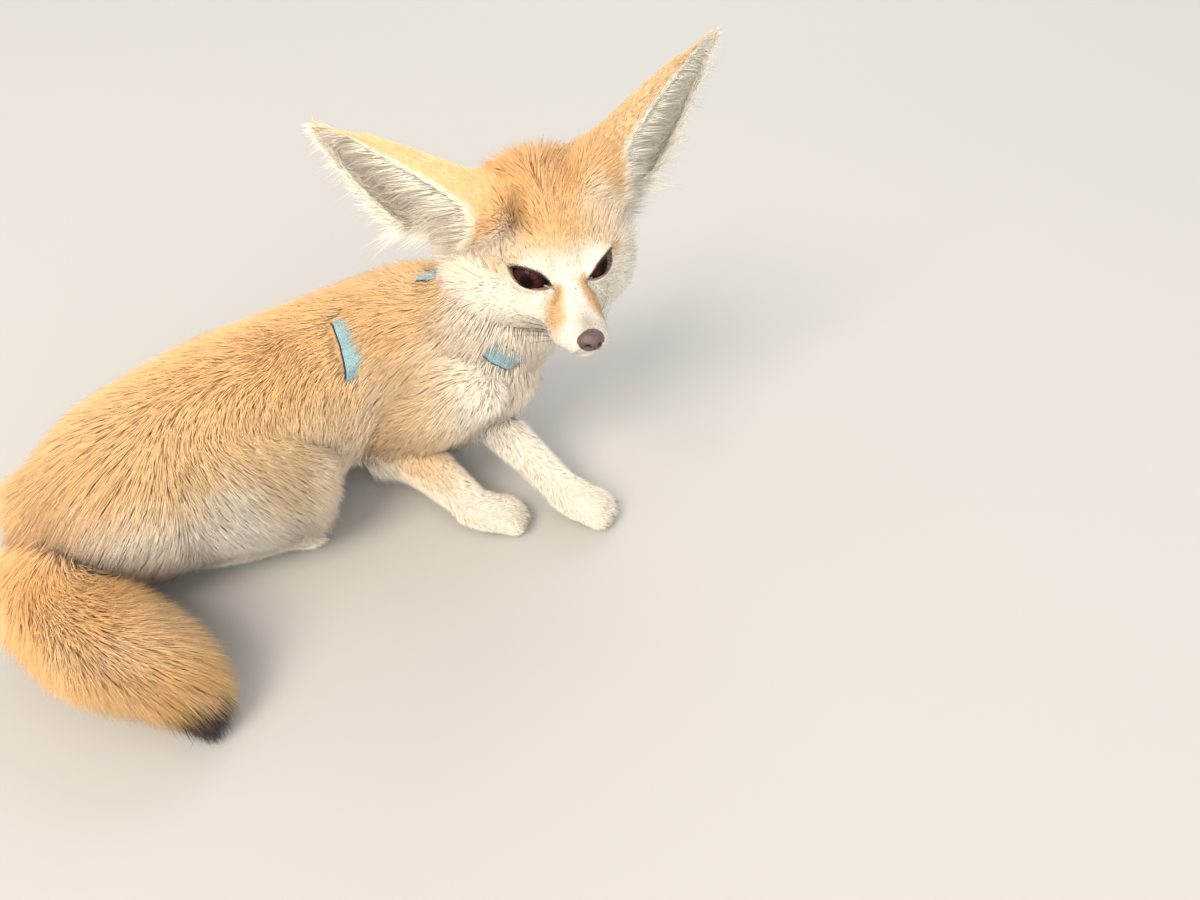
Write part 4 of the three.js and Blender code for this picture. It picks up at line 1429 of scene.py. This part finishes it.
head_normals = point_normals(head_points, head_faces)
root, corners, weights = scatter(head_points, head_faces, head_density(head_points[:, 0]), 21)
normal = unit(carried(head_normals, corners, weights))
eye_gap = np.minimum(eye_places(root, -1)[3], eye_places(root, 1)[3])
at_nose = np.linalg.norm((root - NOSE_PLACE) / NOSE_HOLE, axis=1) < 1
in_neck = limb_coordinates(from_head(root))[0][:, LIMB_NAMES.index("neck")] < 0.68
keep = (eye_gap > LEAST_EYE_GAP) & ~at_nose & (root[:, 0] < FRONT_OF_MUZZLE) & ~in_neck
root, normal, eye_gap = root[keep], normal[keep], eye_gap[keep]
x, y, z = root.T
size = len(root)
print("head roots:", size)

# %% Lie of the head's coat
side = np.clip(y / 9, -1, 1)
ruff = ramp(x, -6, -22) * ramp(z, 16, 0)
crown = ramp(x, -6, -24) * (1 - ruff)
muzzle = ramp(x, 2, 12)
jaw = ramp(z, -18, -28) * (1 - muzzle)
# How much of each way the hair takes, and the way: ahead, out to its own side, up.
WAYS = (
    (np.ones(size), (-1, 0.12, 0)), (ruff, (0, 0.8, -0.45)),
    (ramp(x, 8, -2) * ramp(z, -2, 8), (0, 0.3, 0.9)),
    (crown, (0.2, 0, 0.35)), (ramp(x, -34, -50), (0, 0, -2.2)),
)
lie = np.zeros((size, 3))
for share, (ahead, out, up) in WAYS:
    lie += np.stack([ahead + 0 * side, out * side, up + 0 * side], -1) * share[:, None]
lie += swirl(root, 15, 50) * 0.12
for hand in (-1, 1):
    g, c, u, gap = eye_places(root, hand)[:4]
    away = unit(np.stack([0 * g, c * 0.7, u], -1) @ eye_frame(hand)[1])
    turn = (ramp(gap, 6.5, 1.5) * ramp(abs(g), 12, 8))[:, None]
    lie = lie * (1 - 0.55 * turn) + away * turn * 0.9
print("in the ruff:", int((ruff > 0.5).sum()), "on the crown:", int((crown > 0.5).sum()))

# %% Length and colour of the head's coat
rng = np.random.default_rng(22)
angle = np.arctan2(z - np.interp(x, HEAD_X, [row[2] for row in HEAD]), y)
length = 2.3 * muzzle + (1 - muzzle) * (4.6 + 6.5 * crown + 10.5 * ruff + 3 * jaw)
length *= (0.35 + 0.65 * ramp(eye_gap, 0.5, 7)) * rng.uniform(0.75, 1.2, size)
height = head_coat_depth(x, angle) * rng.uniform(0.55, 1.1, size) + 1.5 * crown
height += 1.5 * ruff * ramp(x, -16, -30)
height = np.minimum(height, length * 0.85)
near_ear, up_ear, ear_colour, ear_floor = near_ears(root)
length = length + 4 * near_ear
start, bend = lying(normal, unit(lie), length, height, 1.35 + 0.2 * ruff)
start = unit(start * (1 - near_ear)[:, None] + up_ear * 1.2 * near_ear[:, None])
bend = bend * (1 - near_ear)[:, None]
marks = head_markings(root)
marks += (ear_colour - marks) * 0.8 * near_ear[:, None]
marks *= 1 - ear_floor[:, None]
head_coat = {
    "root": from_head(root), "normal": normal @ HEAD_AXES.T, "start": start @ HEAD_AXES.T,
    "bend": bend @ HEAD_AXES.T, "length": length,
    "width": 0.12 + 0.03 * (1 - muzzle) + 0.03 * (ruff + crown),
    "stray": 0.05 + 0.03 * (ruff + crown), "gather": 0.12 + 0.2 * (ruff + crown),
    # The muzzle's hair gets a darker tone: painted shade against the strong light on its flat fur.
    "tone": rng.normal(1.04 - 0.19 * muzzle, 0.05),
    # Dark tips on the crown are partly guard hairs and partly a painted shadow of fine streaks.
    "guard_hairs_and_painted_shadow": 0.7 * (rng.random(size) < 0.09 * crown + 0.008 * (1 - muzzle)),
    "marks": marks,
    "uv": np.stack([angle / (2 * np.pi) + 0.5, np.interp(x, HEAD_X, range(len(HEAD_X)))], -1),
}
BROW = -12
coat_piece("coat_face", only(head_coat, x > BROW), "coat_cream", 51)
coat_piece("coat_crown_and_cheeks", only(head_coat, x <= BROW), "coat_sand", 52)

# %% [markdown]
# ## The coat of the ears
# The back of an ear has short flat hair that runs to the tip. The rims carry a pale fringe. The
# hollow is thinly covered, but from its inner side long pale hairs sweep out across the opening.

# %% Ear coat
def ear_coat(name, seed):
    """Roots on one ear with length, lie and colour by where they sit on the sheet."""
    points, faces = ears[name]
    thick = EAR_HOLLOW * ramp(EAR_A, 0.4, 0.2) * ramp(EAR_S, 0.75, 0.5)
    density = np.append(2.5 - 1.1 * EAR_HOLLOW + 2.2 * thick, [0, 0])
    root, corners, weights = scatter(points, faces, density, seed)
    s, a, hollow = (carried(np.append(v, [0, 0]), corners, weights) for v in (EAR_S, EAR_A, EAR_HOLLOW))
    normal = unit(carried(point_normals(points, faces), corners, weights))
    keep = ~inside_head(root) & (s > 0.02)
    root, s, a, hollow, normal = (v[keep] for v in (root, s, a, hollow, normal))
    hollow = (hollow > 0.5) * 1.0
    size = len(root)
    rng = np.random.default_rng(seed + 1)
    axis, across, front = ear_frame(EAR_POSE[name])[1:]
    rim = ramp(abs(a), 0.86, 0.97)
    low = ramp(s, 0.34, 0.05)
    wisp = ramp(a, 0.7, 0.9) * bump(s, 0.36, 0.24)
    sweep = hollow * ramp(a, 0.75, 0.1) * ramp(s, 0.98, 0.75)
    pocket = hollow * ramp(s, 0.34, 0.16)
    lie = axis + 0.25 * np.outer(hollow * (1 - rim), across)
    lie = lie + swirl(root, 12, 60) * 0.1 - np.outer(rim * np.sign(a) * 0.25 * (1 - wisp), across)
    lie = lie + np.outer(wisp * (1 - hollow), 1.1 * across)
    lie = lie + np.outer(wisp * hollow, 0.6 * front - 0.3 * across)
    length = 5.4 + 0.8 * rim + 2.0 * hollow + (1 - hollow) * 4.5 * low + 4.5 * wisp
    length = length * rng.uniform(0.75, 1.2, size) * ramp(s, 1.03, 0.92)
    height = 0.9 + 0.6 * rim + 2.2 * low * (1 - hollow) + 0.5 * hollow
    height = np.minimum(height, 0.5 * length) * rng.uniform(0.7, 1.1, size)
    start, bend = lying(normal, lie, length, height, 1.3 + 0 * s)
    long = (rng.random(size) < np.maximum(0.85 * sweep, 0.5 * pocket))[:, None]
    clear = 0.22 + 1.5 * ramp(a, -0.3, 0.9)
    aim = across + 0.5 * axis + np.outer(clear, front)
    aim = aim + rng.normal(0, 0.07, (size, 3)) + swirl(root, 9, 80) * 0.14
    aim = aim + (axis + 0.6 * front - 0.8 * across) * (pocket * (1 - sweep))[:, None]
    start = np.where(long, unit(aim), start)
    reach = (31 - 23 * s) * rng.uniform(0.55, 1.1, size) * (1 - 0.3 * pocket)
    length = np.where(long[:, 0], reach, length)
    bend = np.where(long, np.outer(reach, axis * 0.12 + across * 0.12 + front * 0.02), bend)
    marks = ear_markings(s, a, hollow)
    marks[:, 3] *= np.where(long[:, 0], 0.05, rng.uniform(0.3, 1.1, size))
    return {
        "root": from_head(root), "normal": normal @ HEAD_AXES.T, "start": start @ HEAD_AXES.T,
        "bend": bend @ HEAD_AXES.T, "length": length, "width": 0.17 + 0.01 * sweep,
        "stray": 0.05 + 0.03 * hollow, "gather": 0.02 + 0.3 * sweep,
        # Hair in the hollow gets a lighter tone: painted light against the shade of the deep cup.
        "tone": rng.normal(1.0 + 0.08 * hollow, 0.04), "guard_hairs_and_painted_shadow": 0.5 * (rng.random(size) < 0.02),
        "marks": marks,
        "uv": np.stack([(a * 0.94 + 1) / 4 + (1 - hollow) * 0.5, s * 0.96 + 0.02], -1),
    }


for index, name in enumerate(EAR_POSE):
    coat_piece("coat_ear_" + name, ear_coat(name, 70 + 5 * index), "coat_sand", 90 + index)

# %% [markdown]
# ## The eyes
# The ball has a slight bulge where the cornea sits. The iris is a dark reddish brown that fills
# almost the whole opening, with a round black pupil, fine spokes and a darker rim. It is wet, so a
# clear coat with hardly any roughness gives it its highlight.

# %% Eyes
IRIS_RADIUS = 8.0
PUPIL_RADIUS = 3.0
CORNEA_RISE = 0.6


def eye_ball(side):
    """A ball about the gaze: angle v from the gaze and angle a round it, raised by a bell over the iris
    and a little smaller at the back."""
    grid, v, a = ball_grid(72, 64, 0.004, np.pi - 0.01)
    radius = EYE_RADIUS + CORNEA_RISE * bump(v, 0, 0.62) - 0.15 - 1.2 * ramp(v, 1.25, 1.8)
    grid = grid * radius[..., None] @ eye_frame(side)[1] + EYE_PLACE * [1, side, 1]
    away = np.append((EYE_RADIUS * np.sin(v) + 0 * a).ravel(), [0, 0])
    back = np.append((v + 0 * a).ravel() > np.pi / 2, [False, True])
    turn = np.append((a + 0 * v).ravel(), [0, 0])
    return closed_grid(grid), np.where(back, 2 * EYE_RADIUS, away), turn


def eye_material():
    """Wet eye: pupil, spoked iris, dark rim and brown beyond, by the distance from the gaze in mm. The
    clear coat is the tear film."""
    made, tree, shader = material("fox_eye_wet")
    away = add(tree, "ShaderNodeAttribute", {"attribute_name": "away"}).outputs["Fac"]
    spoke = add(tree, "ShaderNodeAttribute", {"attribute_name": "spoke"}).outputs["Fac"]
    iris = mix(tree, spoke, linear("2A1510"), linear("3C2117"))
    scaled = add(tree, "ShaderNodeMath", {"operation": "DIVIDE"}, i0=away, i1=10.0)
    rings = add(tree, "ShaderNodeValToRGB", None, Fac=scaled.outputs[0])
    ring = rings.color_ramp
    ring.elements[0].position, ring.elements[0].color = 0.0, (0, 0, 0, 1)
    ring.elements[1].position, ring.elements[1].color = 1.0, (0, 0, 0, 1)
    stops = [(PUPIL_RADIUS - 0.6, 0), (PUPIL_RADIUS + 0.8, 1), (IRIS_RADIUS - 1.8, 0.9), (IRIS_RADIUS, 0)]
    for place, value in stops:
        stop = ring.elements.new(place / 10)
        stop.color = (value, value, value, 1)
    colour = mix(tree, rings.outputs["Color"], linear("120806"), iris)
    beyond = add(tree, "ShaderNodeMapRange", None, Value=away, From_Min=IRIS_RADIUS + 0.3,
                 From_Max=IRIS_RADIUS + 1.1)
    colour = mix(tree, beyond.outputs[0], colour, linear("160D0A"))
    tree.links.new(colour, shader.inputs["Base Color"])
    shader.inputs["Roughness"].default_value = 0.1
    shader.inputs["IOR"].default_value = 1.38
    shader.inputs["Specular IOR Level"].default_value = 0.0
    shader.inputs["Coat Weight"].default_value = 0.12
    shader.inputs["Coat Roughness"].default_value = 0.03
    return made


EYE_WET = eye_material()
for name, side in (("eye_right", -1), ("eye_left", 1)):
    (points, faces), away, turn = eye_ball(side)
    ball = head_piece("fox_" + name, points, faces, EYE_WET, "eye", name)
    set_attribute(ball, "away", away)
    streak = 0.5 + 0.3 * np.sin(turn * 23 + 2 * np.sin(turn * 7)) + 0.2 * np.sin(turn * 51)
    set_attribute(ball, "spoke", np.clip(streak, 0, 1) * ramp(away, 7.5, 4))

# %% [markdown]
# ## Lid rims
# The edge of each lid is a thin bare bead of skin: thick and black on the upper lid, pink and wet
# on the lower one, and at the inner corner a pink lump. Each bead is a round profile carried along
# the almond.

# %% Lid rims
UPPER_RIM, LOWER_RIM = 0.5, 0.22
CORNER_SIZE = np.array([0.5, 1.5, 0.6])
CORNER_PLACE = (1.7 - HALF_OPENING, -1.4)


def tube(path, radius, sides=10, beside=UP):
    """A round profile carried along a path of points: each ring stands square to the path, and its first
    direction is square to the one given."""
    along = unit(np.gradient(path, axis=0))
    side = unit(np.cross(along, beside))
    top = np.cross(side, along)
    a = np.linspace(0, 2 * np.pi, sides, endpoint=False)
    radius = np.broadcast_to(radius, len(path))[:, None, None]
    ring = np.cos(a)[None, :, None] * side[:, None] + np.sin(a)[None, :, None] * top[:, None]
    return path[:, None] + ring * radius


def rim_path(side, upper):
    """The edge of one lid from the inner to the outer corner, in the head's frame."""
    middle, axes = eye_frame(side)
    c = np.sin(np.linspace(-1, 1, 60) * np.pi / 2) * HALF_OPENING
    edges = almond(c)
    u = edges[0] + 0.25 if upper else edges[1]
    g = ball_front(c, u, EYE_RADIUS + LID * (0.75 if upper else 0.4))
    return np.stack([g, c, u], -1) @ axes + middle


def bare_material(name, colour, other, roughness, grain, distance):
    """Bare skin or horn: a colour, a second one in soft patches, and a fine grain as bump."""
    made, tree, shader = material(name)
    where = add(tree, "ShaderNodeTexCoord").outputs["Object"]
    patches = add(tree, "ShaderNodeTexNoise", None, Vector=where, Scale=grain / 4, Detail=2.0)
    cells = add(tree, "ShaderNodeTexVoronoi", None, Vector=where, Scale=grain)
    colour = mix(tree, patches.outputs["Fac"], linear(colour), linear(other))
    tree.links.new(colour, shader.inputs["Base Color"])
    height = cells.outputs["Distance"]
    raised = add(tree, "ShaderNodeBump", {"invert": True}, Height=height, Distance=distance)
    tree.links.new(raised.outputs[0], shader.inputs["Normal"])
    shader.inputs["Roughness"].default_value = roughness
    shader.inputs["IOR"].default_value = 1.45
    return made


LID_DARK = bare_material("lid_edge_dark", "150D0B", "231612", 0.35, 1500, 0.0001)
LID_PINK = bare_material("lid_edge_pink", "AE867C", "6E4A44", 0.25, 1500, 0.0001)
LIDS = (("upper", True, LID_DARK, UPPER_RIM), ("lower", False, LID_PINK, LOWER_RIM))
for name, side in (("right", -1), ("left", 1)):
    for lid, upper, finish, size in LIDS:
        path = rim_path(side, upper)
        fine = np.sin(np.linspace(0, np.pi, len(path))) ** 0.35
        points, faces = closed_grid(tube(path, size * fine))
        head_piece(f"lid_{lid}_{name}", points, faces, finish, "skin_pink")
    middle, axes = eye_frame(side)
    c, u = CORNER_PLACE
    place = np.array([ball_front(c, u, EYE_RADIUS) - 0.4, c, u - 0.1]) @ axes + middle
    points, faces = blob(place, CORNER_SIZE, axes)
    head_piece("eye_corner_" + name, points, faces, LID_PINK, "skin_pink")

# %% [markdown]
# ## The nose
# The nose leather is bare, damp skin with a pebbled surface. It is broader than high, flat in front,
# with a groove down the middle and two comma-shaped nostrils that open to the sides.

# %% Nose
NOSE_SIZE = np.array([4.8, 6.1, 4.7])
NOSE_SQUARE = np.array([0.8, 0.88, 0.88])
NOSTRIL = np.array([34.2, 3.1, -16.3])


def nose_pad():
    """An egg about the muzzle's axis, pressed in by bells at the nostrils, their slits and the groove."""
    ball = ball_grid(110, 120, 0.02, np.pi - 0.02)[0]
    square = np.sign(ball) * abs(ball) ** NOSE_SQUARE
    grid = unit(square) * NOSE_SIZE + NOSE_PLACE
    x, y, z = np.moveaxis(grid, -1, 0)
    front = ramp(x, 31.5, 33.5)
    hole = bump(abs(y), NOSTRIL[1], 1.2) * bump(z, NOSTRIL[2], 1.05) * front
    slit = bump(abs(y), 4.9, 1.3) * bump(z, NOSTRIL[2] - 1.0, 0.5) * ramp(x, 29, 32)
    groove = bump(y, 0, 0.35) * ramp(z, -14, -17) * front
    inward = unit(NOSE_PLACE - grid)
    # Painted shade for the nostrils, their slits and the groove.
    shade = np.append((hole**0.7 + 0.8 * slit + 0.5 * groove).ravel(), [0, 0])
    pressed = grid + inward * (2.8 * hole + 1.1 * slit + 0.5 * groove)[..., None]
    return closed_grid(pressed), np.clip(shade, 0, 1)


def nose_material():
    """Damp nose leather: mauve brown pebbles about 0.5 mm across. Painted shade darkens the gaps between
    them and the pressed-in slits and groove, and makes the nostrils near black.
    """
    made, tree, shader = material("nose_skin_damp")
    where = add(tree, "ShaderNodeTexCoord").outputs["Object"]
    hole = add(tree, "ShaderNodeAttribute", {"attribute_name": "hole"}).outputs["Fac"]
    pebbles = add(tree, "ShaderNodeTexVoronoi", None, Vector=where, Scale=2000.0)
    colour = mix(tree, pebbles.outputs["Distance"], linear("6F5A54"), linear("403030"))
    colour = mix(tree, hole, colour, linear("0C0707"))
    tree.links.new(colour, shader.inputs["Base Color"])
    height = pebbles.outputs["Distance"]
    raised = add(tree, "ShaderNodeBump", {"invert": True}, Height=height, Distance=0.00015)
    tree.links.new(raised.outputs[0], shader.inputs["Normal"])
    shader.inputs["Roughness"].default_value = 0.32
    shader.inputs["IOR"].default_value = 1.45
    return made


(points, faces), hole = nose_pad()
nose = head_piece("nose_leather", points, faces, nose_material(), "nose_leather", "nose")
set_attribute(nose, "hole", hole)

# %% [markdown]
# ## Whiskers
# About a dozen fine black whiskers grow from each pad in three rows, and sweep back and down. Each
# is a tapered tube along a gentle curve.

# %% Whiskers
WHISKER_LENGTH = 34
WHISKER_RADIUS = 0.11


def whisker(root, direction, sag, length):
    """A tapered tube: root + direction * length * s, sagging as s squared."""
    s = np.linspace(0, 1, 14)[:, None]
    path = root + direction * length * s + sag * length * s * s
    return closed_grid(tube(path, WHISKER_RADIUS * (1 - 0.9 * s[:, 0]), 5))


rng = np.random.default_rng(7)
hairs = []
for side in (-1, 1):
    for row in range(3):
        for k in range(4):
            root = np.array([21 - 3.0 * k - row, side * (9.0 + 0.6 * k), -17.5 - 2.0 * row])
            heading = np.array([-0.9 - 0.12 * k, side * 0.9, 0.02 - 0.2 * row])
            heading = unit(heading + rng.normal(0, 0.07, 3))
            sag = np.array([-0.22, 0, -0.14 - 0.05 * row])
            length = WHISKER_LENGTH * (0.6 + 0.14 * k) * rng.uniform(0.85, 1.1)
            hairs.append(whisker(root, heading, sag, min(length, WHISKER_LENGTH * 1.1)))
points, faces = joined(hairs)
whiskers = make_mesh("whiskers", from_head(points), faces)
put_on(whiskers, bare_material("whisker_hair", "140E0C", "2A201C", 0.4, 2000, 0.00002), "coat_dark")

# %% [markdown]
# ## Claws
# Claws are small curved cones of brown horn, one on each toe, mostly hidden in the hair.

# %% Claws
CLAW_LENGTH = 3.2
CLAW_RADIUS = 0.65


def claw(place, heading):
    """A cone carried along an arc that bends down."""
    s = np.linspace(0, 1, 10)
    reach = TOE_SIZE[0] - 0.8 + CLAW_LENGTH * s
    path = np.stack([reach, 0 * s, 0.4 + 0.6 * s - 2.4 * s * s], -1)
    grid = tube(path, CLAW_RADIUS * (1 - 0.92 * s**1.3), 8)
    return closed_grid(grid @ turn_about(2, heading).T + place)


points, faces = joined([claw(place, heading) for place, heading in toes])
points = above_floor(points)
claws = make_mesh("claws", points, faces_out(points, faces))
put_on(claws, bare_material("claw_horn", "9C8F84", "6E625A", 0.45, 900, 0.0001), "claw")

# %% [markdown]
# ## The harness
# Each band is a flat profile carried round the body, deep in the coat where it is hidden and nearer
# the tips where it shows. The cloth is soft and thin, so it puckers into creases across the band. A
# dark binding is sewn along both edges: a thin round profile on the same path.

# %% Harness bands
def ribbon(middle, along, out, width, thickness, closed, seed):
    """A flat band: rows along its length, and a ring of corners across: the face, the edge, the back. The
    creases are a ripple of the place along and across, on face and back alike."""
    count = 24
    a = np.linspace(0, 2 * np.pi, count, endpoint=False)
    across = np.sign(np.cos(a)) * abs(np.cos(a)) ** 0.4 * width / 2
    through = np.sin(a) * thickness / 2
    run = np.concatenate([[0], np.cumsum(np.linalg.norm(np.diff(middle, axis=0), axis=1))])
    turn = run / run[-1] * 2 * np.pi
    reach = run[-1] / (2 * np.pi)
    spot = np.stack([np.cos(turn) * reach, np.sin(turn) * reach, 0 * turn], -1)
    spot = spot[:, None] + np.stack([0 * across, 0 * across, across * 0.35], -1)[None]
    crease = 0.9 * ripple(spot, 9, seed) + 0.6 * ripple(spot, 4, seed + 1)
    grid = middle[:, None] + along[:, None] * across[None, :, None]
    grid = grid + out[:, None] * (through[None] + crease * 0.8)[..., None]
    edges = [grid[:, 0], grid[:, count // 2]]
    if not closed:
        return closed_grid(grid), edges
    faces = grid_faces(len(middle) + 1, count) % (len(middle) * count)
    return (grid.reshape(-1, 3), [faces]), edges


def band_ring(band, steps=300):
    """The path of a band round a limb at one station: an oval that leans, deep where the band is hidden."""
    a = np.linspace(0, 2 * np.pi, steps, endpoint=False)
    middle, along, side, top, wide, high = (v[0] for v in stations_at(band["table"], np.array([band["at"]])))
    inset = band["hidden"] + (band["shown"] - band["hidden"]) * exposure(band, a) + BAND["thickness"] / 2
    out = unit(np.cos(a)[:, None] * side / wide + np.sin(a)[:, None] * top / high)
    ring = middle + np.cos(a)[:, None] * side * wide + np.sin(a)[:, None] * top * high
    ring = ring - out * inset[:, None] - np.outer(band["lean"] * np.sin(a) * high, along)
    return ring, np.broadcast_to(along, ring.shape), out


def cloth_material(name, first, second, groove):
    """Knitted cotton: a weave about 0.7 mm wide, its threads lighter and its grooves darker with painted
    shade, dull, with a little sheen.
    """
    made, tree, shader = material(name)
    where = add(tree, "ShaderNodeTexCoord").outputs["Object"]
    weave = add(tree, "ShaderNodeTexVoronoi", None, Vector=where, Scale=1400.0)
    patches = add(tree, "ShaderNodeTexNoise", None, Vector=where, Scale=90.0, Detail=3.0)
    colour = mix(tree, patches.outputs["Fac"], linear(first), linear(second))
    # The weave turns towards the groove colour between its threads: painted shade.
    colour = mix(tree, weave.outputs["Distance"], colour, linear(groove))
    tree.links.new(colour, shader.inputs["Base Color"])
    raised = add(tree, "ShaderNodeBump", None, Height=weave.outputs["Distance"], Distance=0.0003)
    tree.links.new(raised.outputs[0], shader.inputs["Normal"])
    shader.inputs["Roughness"].default_value = 0.85
    shader.inputs["Sheen Weight"].default_value = 0.3
    return made


BINDING_RADIUS = 0.5
CLOTH = cloth_material("harness_cotton", "82A6AE", "A9C1C5", "62858D")
BINDING = cloth_material("harness_binding_dark", "2B3238", "20252A", "101316")


def closed_tube(path, radius, beside):
    """A round profile along a path that ends where it began."""
    count = 8
    loop = np.vstack([path[-1:], path, path[:1]])
    grid = tube(loop, radius, count, beside)[1:-1]
    return grid.reshape(-1, 3), [grid_faces(len(path) + 1, count) % (len(path) * count)]


bindings = []
for index, (name, band) in enumerate((("harness_girth_band", GIRTH), ("harness_neck_band", COLLAR))):
    ring, along, out = band_ring(band)
    (points, faces), edges = ribbon(ring, along, out, BAND["width"], BAND["thickness"], True, 5 + index)
    points = above_floor(points)
    piece = make_mesh(name.replace("harness", "cloth"), points, faces_out(points, faces))
    put_on(piece, CLOTH, "harness_cloth", name)
    bindings += [closed_tube(edge, BINDING_RADIUS, along[0]) for edge in edges]

# %% Back strap
STRAP_STEPS, LAST_STEPS = 60, 19
t = np.linspace(BACK_STRAP["from"], BACK_STRAP["to"], STRAP_STEPS)
middle, _, side, top, _, high = stations_at(TRUNK, t)
raised = BACK_STRAP["raised"] * bump(np.linspace(0, 1, STRAP_STEPS), 0.9, 0.09)
inset = BACK_STRAP["hidden"] - raised + BAND["thickness"] / 2
path = middle + top * (high - inset)[:, None]
collar_middle, _, _, collar_top, _, collar_high = stations_at(NECK, np.array([COLLAR["at"]]))
end = collar_middle[0] + collar_top[0] * (collar_high[0] - inset[-1])
s = np.linspace(0, 1, LAST_STEPS + 1)[1:, None]
path = np.vstack([path, path[-1] + (end - path[-1]) * s])
side, top = (np.vstack([v, np.repeat(v[-1:], LAST_STEPS, 0)]) for v in (side, top))
(points, faces), edges = ribbon(path, side, top, BACK_STRAP["width"], BAND["thickness"], False, 9)
strap = make_mesh("cloth_back_strap", points, faces_out(points, faces))
put_on(strap, CLOTH, "harness_cloth", "harness_back_strap")
bindings += [closed_grid(tube(edge, BINDING_RADIUS, 8)) for edge in edges]
bindings = [(points, faces_out(points, faces)) for points, faces in bindings]
points, faces = joined(bindings)
put_on(make_mesh("cloth_binding", above_floor(points), faces), BINDING, "harness_cloth")

# %% [markdown]
# ## Studio
# A plain pale floor and soft light. A large key light high on the left gives the form, a fill from
# the front right opens the shadows, a light behind draws out the edges of the hair, and a pale sky
# lights everything a little.

# %% Floor
FLOOR_REACH = 40.0
floor_grid = np.array([[-1, -1, 0], [1, -1, 0], [1, 1, 0], [-1, 1, 0]]) * FLOOR_REACH
floor_mesh = bpy.data.meshes.new("floor")
floor_mesh.from_pydata(floor_grid.tolist(), [], [(0, 1, 2, 3)])
floor = bpy.data.objects.new("floor", floor_mesh)
bpy.context.collection.objects.link(floor)
floor_finish, tree, shader = material("studio_floor")
shader.inputs["Base Color"].default_value = linear("B0ADA7")
shader.inputs["Roughness"].default_value = 0.9
floor.data.materials.append(floor_finish)
floor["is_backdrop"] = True
print("floor:", 2 * FLOOR_REACH, "m across")

# %% Lights
# Name, place and side of the square in metres, power in watts and colour. Each is turned to AIM.
LIGHTS = (
    ("key", (-1.25, -2.1, 2.5), 1.75, 135, "FFF3E4"),
    ("fill", (1.25, -3.0, 1.1), 2.5, 64, "FFFFFF"),
    ("rim", (0.5, 2.75, 2.25), 2.0, 45, "FFFFFF"),
)
AIM = np.array([0, 0, 0.07])
for name, place, size, power, colour in LIGHTS:
    data = bpy.data.lights.new(name, "AREA")
    data.size = size
    data.energy = power
    data.color = linear(colour)[:3]
    light = bpy.data.objects.new(name, data)
    bpy.context.collection.objects.link(light)
    light.location = place
    way = AIM - np.array(place)
    tip = math.acos(-way[2] / np.linalg.norm(way))
    light.rotation_euler = (tip, 0, math.atan2(way[1], way[0]) - math.pi / 2)
    print(name, "light:", power, "W")
world = bpy.data.worlds.new("sky")
bpy.context.scene.world = world
world.use_nodes = True
world.node_tree.nodes["Background"].inputs["Color"].default_value = linear("F4F6FA")
world.node_tree.nodes["Background"].inputs["Strength"].default_value = 1.0
bpy.context.scene.view_settings.view_transform = "Standard"

# %% Finish
corners = [[list(map(float, corner)) for corner in box] for box in (cad_bounds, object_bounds())]
